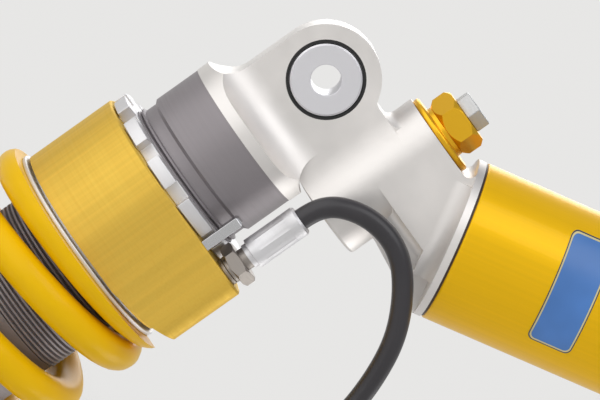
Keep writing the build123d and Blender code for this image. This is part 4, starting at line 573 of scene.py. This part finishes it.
# %% Blasted aluminium
BEAD_SCALE = 2600
BEAD_DEPTH = 0.000008
BEAD_STRENGTH = 0.35
BLAST_CLOUDS = 55
BLAST_ROUGHNESS_SPAN = (0.85, 1.15)


def plain_noise(tree, scale, detail=2):
    """Noise that is the same in every direction, on the object's own coordinates."""
    coordinates = tree.nodes.new("ShaderNodeTexCoord")
    noise = tree.nodes.new("ShaderNodeTexNoise")
    noise.inputs["Scale"].default_value = scale
    noise.inputs["Detail"].default_value = detail
    tree.links.new(coordinates.outputs["Object"], noise.inputs["Vector"])
    return noise.outputs["Fac"]


def blasted_metal(name, colour, roughness):
    """Bead-blasted aluminium: fine grain without direction, and soft clouds."""
    material, tree, shader = blank_material(name, colour, 1.0, roughness)
    grain = plain_noise(tree, BEAD_SCALE)
    clouds = plain_noise(tree, BLAST_CLOUDS, NOISE_DETAIL)
    vary_roughness(tree, shader, clouds, *(roughness * share for share in BLAST_ROUGHNESS_SPAN))
    vary_colour(tree, shader, clouds, *tones(colour, 0.05, 0.04))
    dent(tree, shader, grain, BEAD_DEPTH, BEAD_STRENGTH)
    return material


clear_anodised = blasted_metal("clear_anodised_head", (0.82, 0.79, 0.765), 0.5)
zinc_plate = blasted_metal("zinc_plated_sheet", (0.60, 0.61, 0.60), 0.36)
print("blasted finishes:", clear_anodised.name, zinc_plate.name)

# %% [markdown]
# The spring is sprayed and baked: a smooth paint with a little orange peel, over steel. Rubber and
# plastic are dark and dull, with a fine grain, and the hose has a smooth skin that shines a bit.

# %% Paint, rubber and plastic
COAT_CLOUDS = 60
COAT_ROUGHNESS = 0.07
GRAIN_STRENGTH = 0.4


def coated(name, colour, roughness, grain_scale, grain_depth, coat=0.0, dark_share=0.12):
    """Paint, rubber or plastic: one colour, slightly uneven, with a grain of the given fineness."""
    material, tree, shader = blank_material(name, colour, 0.0, roughness)
    tune(material, Coat_Weight=coat, Coat_Roughness=COAT_ROUGHNESS)
    grain = plain_noise(tree, grain_scale)
    clouds = plain_noise(tree, COAT_CLOUDS)
    vary_colour(tree, shader, clouds, *tones(colour, dark_share, dark_share / 2))
    vary_roughness(tree, shader, clouds, *(roughness * share for share in ROUGHNESS_SPAN))
    dent(tree, shader, grain, grain_depth, GRAIN_STRENGTH)
    return material


spring_paint = coated(
    "spring_yellow_paint", (0.92, 0.54, 0.001), 0.34, 300, 0.00001, coat=0.06, dark_share=0.03
)
tune(spring_paint, Specular_IOR_Level=0.12)
seal_rubber = coated("seal_rubber", (0.012, 0.012, 0.012), 0.5, 1800, 0.00001)
seam_rubber = coated("seam_rubber", (0.045, 0.02, 0.008), 0.45, 1800, 0.00001)
stop_rubber = coated("stop_foam", (0.42, 0.38, 0.22), 0.75, 900, 0.00004)
hose_skin = coated("hose_skin", (0.034, 0.031, 0.035), 0.33, 1400, 0.000012)
black_plastic = coated("black_plastic", (0.02, 0.02, 0.021), 0.42, 1500, 0.00001)
hose.data.materials.append(hose_skin)
print(len(bpy.data.materials), "materials so far")

# %% [markdown]
# ## Finishes on the CAD pieces
#
# Each CAD piece gets its finish by assignment. The pieces that are made or finished by hand below
# take theirs from the same table.

# %% Assign the finishes
FINISHES = {
    clear_anodised: ["head", "seal_head", "main_piston", "lower_eye", "valve_piston", "floating_piston"],
    gold_on_damper: ["preload_housing", "lower_seat"],
    gold_on_boss: ["valve_cap", "valve_cartridge"],
    dark_tube: ["body_tube"],
    bright_ring: ["lock_ring", "spring_seat", "ring_piston"],
    bright_boss: ["high_speed_adjuster"],
    steel_damper: ["piston_shims", "piston_nut", "metering_rod", "retaining_rings", "ring_key"],
    steel_fitting: ["hose_union", "port_washers"],
    crimped_steel: ["hose_ferrule"],
    steel_remote: ["remote_union"],
    crimped_remote: ["remote_ferrule"],
    spacer_upper: ["upper_race", "upper_ball", "upper_spacers"],
    spacer_lower: ["lower_race", "lower_ball", "lower_spacers"],
    aluminium_remote: ["remote_cylinder", "remote_piston"],
    black_remote: ["remote_plug", "preload_knob"],
    black_damper: ["rebound_wheel"],
    black_reservoir: ["end_cap"],
    chromed: ["piston_shaft"],
    bronze: ["shaft_bush", "piston_band"],
    brass_boss: ["low_speed_screw"],
    brass_reservoir: ["gas_valve"],
    reservoir_gold: ["reservoir_tube"],
    zinc_plate: ["remote_bracket"],
    spring_paint: ["main_spring"],
    seal_rubber: [
        "tube_seals",
        "shaft_seal",
        "dust_wiper",
        "upper_seals",
        "lower_seals",
        "floating_piston_seal",
        "ring_piston_seal",
    ],
    seam_rubber: ["reservoir_seals"],
    stop_rubber: ["bump_stop", "topout_bumper"],
    hose_skin: ["preload_hose"],
    black_plastic: ["gas_valve_cap"],
}
finish_of = {node: material for material, named in FINISHES.items() for node in named}
for node, material in finish_of.items():
    nodes[node].data.materials.clear()
    nodes[node].data.materials.append(material)
print("nodes without a finish:", sorted(set(nodes) - set(finish_of)))

# %% [markdown]
# ## Broken edges
#
# No machined piece leaves the shop with a knife edge: a file or a chamfer tool breaks each one by a
# few tenths of a millimetre, and that narrow facet is what catches the light. A copy of the CAD
# piece is merged into one skin, its flat faces are dissolved, and a bevel breaks every edge that is
# sharper than a set angle. The copy then stands for the piece.

# %% Break the edges of the machined pieces
FLAT_ANGLE = 0.5
SHARP_ANGLE = 32
EDGE_SEGMENTS = 2
FACE_WEIGHT = 100


def broken_edges(node, width):
    """A copy of a CAD piece with every sharp edge bevelled by a width in metres."""
    copy = bpy.data.objects.new(f"{node}_finished", nodes[node].data.copy())
    bpy.context.scene.collection.objects.link(copy)
    edit_all(copy)
    bpy.ops.mesh.remove_doubles(threshold=SAME_POINT)
    bpy.ops.mesh.dissolve_limited(angle_limit=math.radians(FLAT_ANGLE))
    bpy.ops.object.mode_set(mode="OBJECT")
    bevel = copy.modifiers.new("broken_edge", "BEVEL")
    bevel.width = width
    bevel.segments = EDGE_SEGMENTS
    bevel.limit_method = "ANGLE"
    bevel.angle_limit = math.radians(SHARP_ANGLE)
    bevel.use_clamp_overlap = True
    apply_modifiers(copy)
    settle(copy, f"{node}_finished")
    flat_faces = copy.modifiers.new("calm_flat_faces", "WEIGHTED_NORMAL")
    flat_faces.weight = FACE_WEIGHT
    flat_faces.keep_sharp = True
    apply_modifiers(copy)
    stand_in(copy, node)
    return copy


EDGE_WIDTHS = {
    "head": 0.0004,
    "preload_housing": 0.0003,
    "lock_ring": 0.0004,
    "ring_key": 0.0002,
    "hose_union": 0.0002,
    "remote_union": 0.0002,
    "port_washers": 0.0002,
    "valve_cap": 0.0003,
    "valve_cartridge": 0.0002,
    "high_speed_adjuster": 0.0003,
    "low_speed_screw": 0.0002,
    "upper_spacers": 0.0002,
    "lower_spacers": 0.0002,
    "spring_seat": 0.0003,
    "lower_seat": 0.0005,
    "lower_eye": 0.0005,
    "reservoir_tube": 0.0002,
    "end_cap": 0.0003,
    "gas_valve": 0.0002,
    "gas_valve_cap": 0.0004,
    "remote_cylinder": 0.0003,
    "remote_bracket": 0.0003,
    "preload_knob": 0.0005,
    "rebound_wheel": 0.0003,
}
for node, width in EDGE_WIDTHS.items():
    finished = broken_edges(node, width)
    print(node, "edges broken,", len(finished.data.polygons), "faces")

# %% [markdown]
# ## The main spring
#
# The spring is wound from 12 mm wire, right-handed, with closed end turns that are ground flat. The
# pitch of the closed turns widens to that of the working turns over a short blend. The grinding
# leaves the tip of the wire a third as thick as the wire, so the winding starts above the cut.

# %% Wind the spring
WIRE = 0.012
COIL_RADIUS = 0.0345
SPRING_TOP = -0.0958
SPRING_LENGTH = 0.1587
ACTIVE_PITCH = 0.0248
END_PITCH = 0.0122
END_TURNS = 1.0
BLEND_TURNS = 0.3
TIP = 0.004
TIP_ANGLE = math.radians(-12)
STEPS_PER_TURN = 40
WIRE_ROUNDNESS = 10

overhang = WIRE / 2 - TIP
coil_drop = SPRING_LENGTH + 2 * overhang
active_turns = (coil_drop - 2 * END_TURNS * END_PITCH) / ACTIVE_PITCH
total_turns = active_turns + 2 * END_TURNS


def coil_depth(turn):
    """How far the wire has come down after so many turns."""
    depth = END_PITCH * turn
    for corner, sign in ((END_TURNS, 1), (END_TURNS + active_turns, -1)):
        past = turn - corner + BLEND_TURNS / 2
        gain = sign * (ACTIVE_PITCH - END_PITCH)
        if past >= BLEND_TURNS:
            depth += gain * (past - BLEND_TURNS / 2)
        elif past > 0:
            depth += gain * past**2 / (2 * BLEND_TURNS)
    return depth


step_count = round(total_turns * STEPS_PER_TURN)
spring, winding = empty_curve("wound_spring", "POLY", step_count + 1)
for index, point in enumerate(winding.points):
    turn = total_turns * index / step_count
    angle = TIP_ANGLE - 2 * math.pi * turn
    height = SPRING_TOP + overhang - coil_depth(turn)
    point.co = (COIL_RADIUS * math.cos(angle), COIL_RADIUS * math.sin(angle), height, 1)
spring.data.bevel_depth = WIRE / 2
spring.data.bevel_resolution = WIRE_ROUNDNESS
spring.data.use_fill_caps = True
print("spring wound with", round(total_turns, 2), "turns")

# %% [markdown]
# The winding becomes a mesh, and both ends are ground: cut by a level plane and closed. The turns
# close up as the damper is pushed in.

# %% Grind the spring's ends
choose(spring)
bpy.ops.object.convert(target="MESH")
for height, clear_upper in ((SPRING_TOP, True), (SPRING_TOP - SPRING_LENGTH, False)):
    edit_all(spring)
    bpy.ops.mesh.remove_doubles(threshold=SAME_POINT)
    bpy.ops.mesh.bisect(
        plane_co=(0, 0, height),
        plane_no=(0, 0, 1),
        use_fill=True,
        clear_outer=clear_upper,
        clear_inner=not clear_upper,
    )
    bpy.ops.object.mode_set(mode="OBJECT")
edit_all(spring)
bpy.ops.mesh.normals_make_consistent(inside=False)
bpy.ops.object.mode_set(mode="OBJECT")
spring.data.materials.clear()
spring.data.materials.append(spring_paint)
settle(spring, "wound_spring", 40)
stand_in(spring, "main_spring")
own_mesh(spring)

# %% [markdown]
# ## Crimped ferrules
#
# A press squeezes the ferrule onto the hose with eight jaws, which leave a narrower barrel with eight
# low ridges, and a plain collar at each end. A disc is drawn upwards step by step into the narrow lip
# at the foot, the collar, the barrel and the other collar, whose rim is rounded off. Then the
# barrel's points are pressed inwards, all but the ridges. The hose has one such ferrule at each end.

# %% Model the ferrules
FERRULE_SIDES = 64
LIP_RADIUS = 0.0042
LIP_HEIGHT = 0.0015
SHOULDER = 0.0002
FERRULE_RADIUS = 0.0052
LOWER_COLLAR = 0.0028
CRIMP_SLOPE = 0.0006
BARREL_HEIGHT = 0.0109
UPPER_COLLAR = 0.0032
RIM_HEIGHT = 0.0007
RIM_SHARE = 0.9
JAWS = 8
JAW_SHARE = 0.8
JAW_SQUEEZE = 0.96
FERRULE_BASES = {"hose_ferrule": (*FITTING_PLACE, -0.0523), "remote_ferrule": (*REMOTE_PLACE, -0.21)}


def draw_up(height, widen=1):
    """Draws the selected face upwards by a height and widens it by a share."""
    bpy.ops.mesh.extrude_region_move(TRANSFORM_OT_translate={"value": (0, 0, height)})
    if widen != 1:
        bpy.ops.transform.resize(value=(widen, widen, 1))


def crimped_ferrule(name, base):
    """A ferrule that stands on a point: lip, collar, crimped barrel, collar."""
    bpy.ops.object.select_all(action="DESELECT")
    bpy.ops.mesh.primitive_circle_add(
        vertices=FERRULE_SIDES, radius=LIP_RADIUS, fill_type="NGON", location=base
    )
    ferrule = bpy.context.object
    edit_all(ferrule)
    draw_up(LIP_HEIGHT)
    draw_up(SHOULDER, FERRULE_RADIUS / LIP_RADIUS)
    for height in (LOWER_COLLAR, CRIMP_SLOPE, BARREL_HEIGHT, CRIMP_SLOPE, UPPER_COLLAR):
        draw_up(height)
    draw_up(RIM_HEIGHT, RIM_SHARE)
    bpy.ops.object.mode_set(mode="OBJECT")
    low = LIP_HEIGHT + SHOULDER + LOWER_COLLAR + CRIMP_SLOPE / 2
    high = low + CRIMP_SLOPE + BARREL_HEIGHT
    for vertex in ferrule.data.vertices:
        if low < vertex.co.z < high:
            angle = math.atan2(vertex.co.y, vertex.co.x)
            off_flat = abs((angle * JAWS / (2 * math.pi)) % 1 - 0.5) * 2
            ridge = max(0, (off_flat - JAW_SHARE) / (1 - JAW_SHARE))
            squeeze = JAW_SQUEEZE + (1 - JAW_SQUEEZE) * ridge
            vertex.co.x *= squeeze
            vertex.co.y *= squeeze
    edit_all(ferrule)
    bpy.ops.mesh.normals_make_consistent(inside=False)
    bpy.ops.object.mode_set(mode="OBJECT")
    settle(ferrule, name, 25)
    return ferrule


for node, base in FERRULE_BASES.items():
    ferrule = crimped_ferrule(f"crimped_{node}", base)
    ferrule.data.materials.append(finish_of[node])
    stand_in(ferrule, node)

# %% [markdown]
# ## The plate on the reservoir
#
# A blue plate with a pale line and a dark outline is stuck round the reservoir, bare of any words. A
# thin shell just outside the tube is cut to shape by a block with rounded corners, pushed in from
# the front. Outline, line and field are three such shells, each a hair thicker and a little smaller.

# %% Cut the plate from a shell
TUBE_RADIUS = 0.0273
SHELL_SIDES = 256
SHELL_LENGTH = 0.03
SHELL_GAP = 0.00002
CUTTER_DEPTH = 0.03
CORNER_SEGMENTS = 6
PLATE_MIDDLE = 0.04
PLATE_WIDTH = 0.015
PLATE_HEIGHT = 0.03795
PLATE_TURN = math.radians(2.85)
PLATE_CORNER = 0.0022
PLATE_OUTLINE = 0.00035
PLATE_LINE = 0.0005

tube_way = Vector((math.cos(math.radians(RESERVOIR_RISE)), 0, math.sin(math.radians(RESERVOIR_RISE))))
tube_up = Vector((-tube_way.z, 0, tube_way.x))
plate_out = math.cos(PLATE_TURN) * Vector((0, -1, 0)) + math.sin(PLATE_TURN) * tube_up
plate_round = tube_way.cross(plate_out)
tube_start = Vector(RESERVOIR_AXIS[0])
plate_turn = Matrix((tube_way, plate_round, plate_out)).transposed().to_euler()


def plate_piece(name, inset, thickness, material):
    """A shell round the tube, cut to a rounded oblong that is smaller by the inset on every side."""
    centre = tube_start + tube_way * PLATE_MIDDLE
    bpy.ops.object.select_all(action="DESELECT")
    bpy.ops.mesh.primitive_cylinder_add(
        vertices=SHELL_SIDES,
        radius=TUBE_RADIUS + SHELL_GAP,
        depth=SHELL_LENGTH,
        end_fill_type="NOTHING",
        location=centre,
    )
    shell = bpy.context.object
    shell.rotation_euler = RESERVOIR_AXIS[1]
    thicken = shell.modifiers.new("thickness", "SOLIDIFY")
    thicken.thickness = thickness
    thicken.offset = 1
    apply_modifiers(shell)
    bpy.ops.object.transform_apply(location=True, rotation=True, scale=True)
    bpy.ops.object.select_all(action="DESELECT")
    bpy.ops.mesh.primitive_cube_add(size=1, location=centre + plate_out * TUBE_RADIUS, rotation=plate_turn)
    cutter = bpy.context.object
    cutter.scale = (PLATE_WIDTH - 2 * inset, PLATE_HEIGHT - 2 * inset, CUTTER_DEPTH)
    bpy.ops.object.transform_apply(location=False, rotation=False, scale=True)
    for edge in cutter.data.edges:
        first, second = (cutter.data.vertices[index].co for index in edge.vertices)
        edge.select = abs(first.z - second.z) > CUTTER_DEPTH / 2
    bpy.ops.object.mode_set(mode="EDIT")
    bpy.ops.mesh.select_mode(type="EDGE")
    bpy.ops.mesh.bevel(offset=PLATE_CORNER - inset / 2, segments=CORNER_SEGMENTS)
    bpy.ops.object.mode_set(mode="OBJECT")
    bpy.ops.object.transform_apply(location=True, rotation=True, scale=True)
    cut = shell.modifiers.new("cut_out", "BOOLEAN")
    cut.operation = "INTERSECT"
    cut.object = cutter
    cut.solver = "EXACT"
    apply_modifiers(shell)
    bpy.data.objects.remove(cutter)
    shell.data.materials.clear()
    shell.data.materials.append(material)
    settle(shell, name, 30)
    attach(shell, "damper_body")
    return shell


plate_outline = coated("plate_outline", (0.03, 0.05, 0.09), 0.3, 900, 0.000002)
plate_line = coated("plate_line", (0.72, 0.62, 0.30), 0.3, 900, 0.000002)
plate_field = coated("plate_field", (0.075, 0.215, 0.56), 0.32, 900, 0.000002)
for name, inset, thickness, material in (
    ("reservoir_plate", 0.0, 0.0001, plate_outline),
    ("reservoir_plate_line", PLATE_OUTLINE, 0.00014, plate_line),
    ("reservoir_plate_field", PLATE_OUTLINE + PLATE_LINE, 0.00018, plate_field),
):
    piece = plate_piece(name, inset, thickness, material)
    print(name, len(piece.data.polygons), "faces")

# %% [markdown]
# ## Finish

# %% Finish
bpy.ops.object.select_all(action="DESELECT")
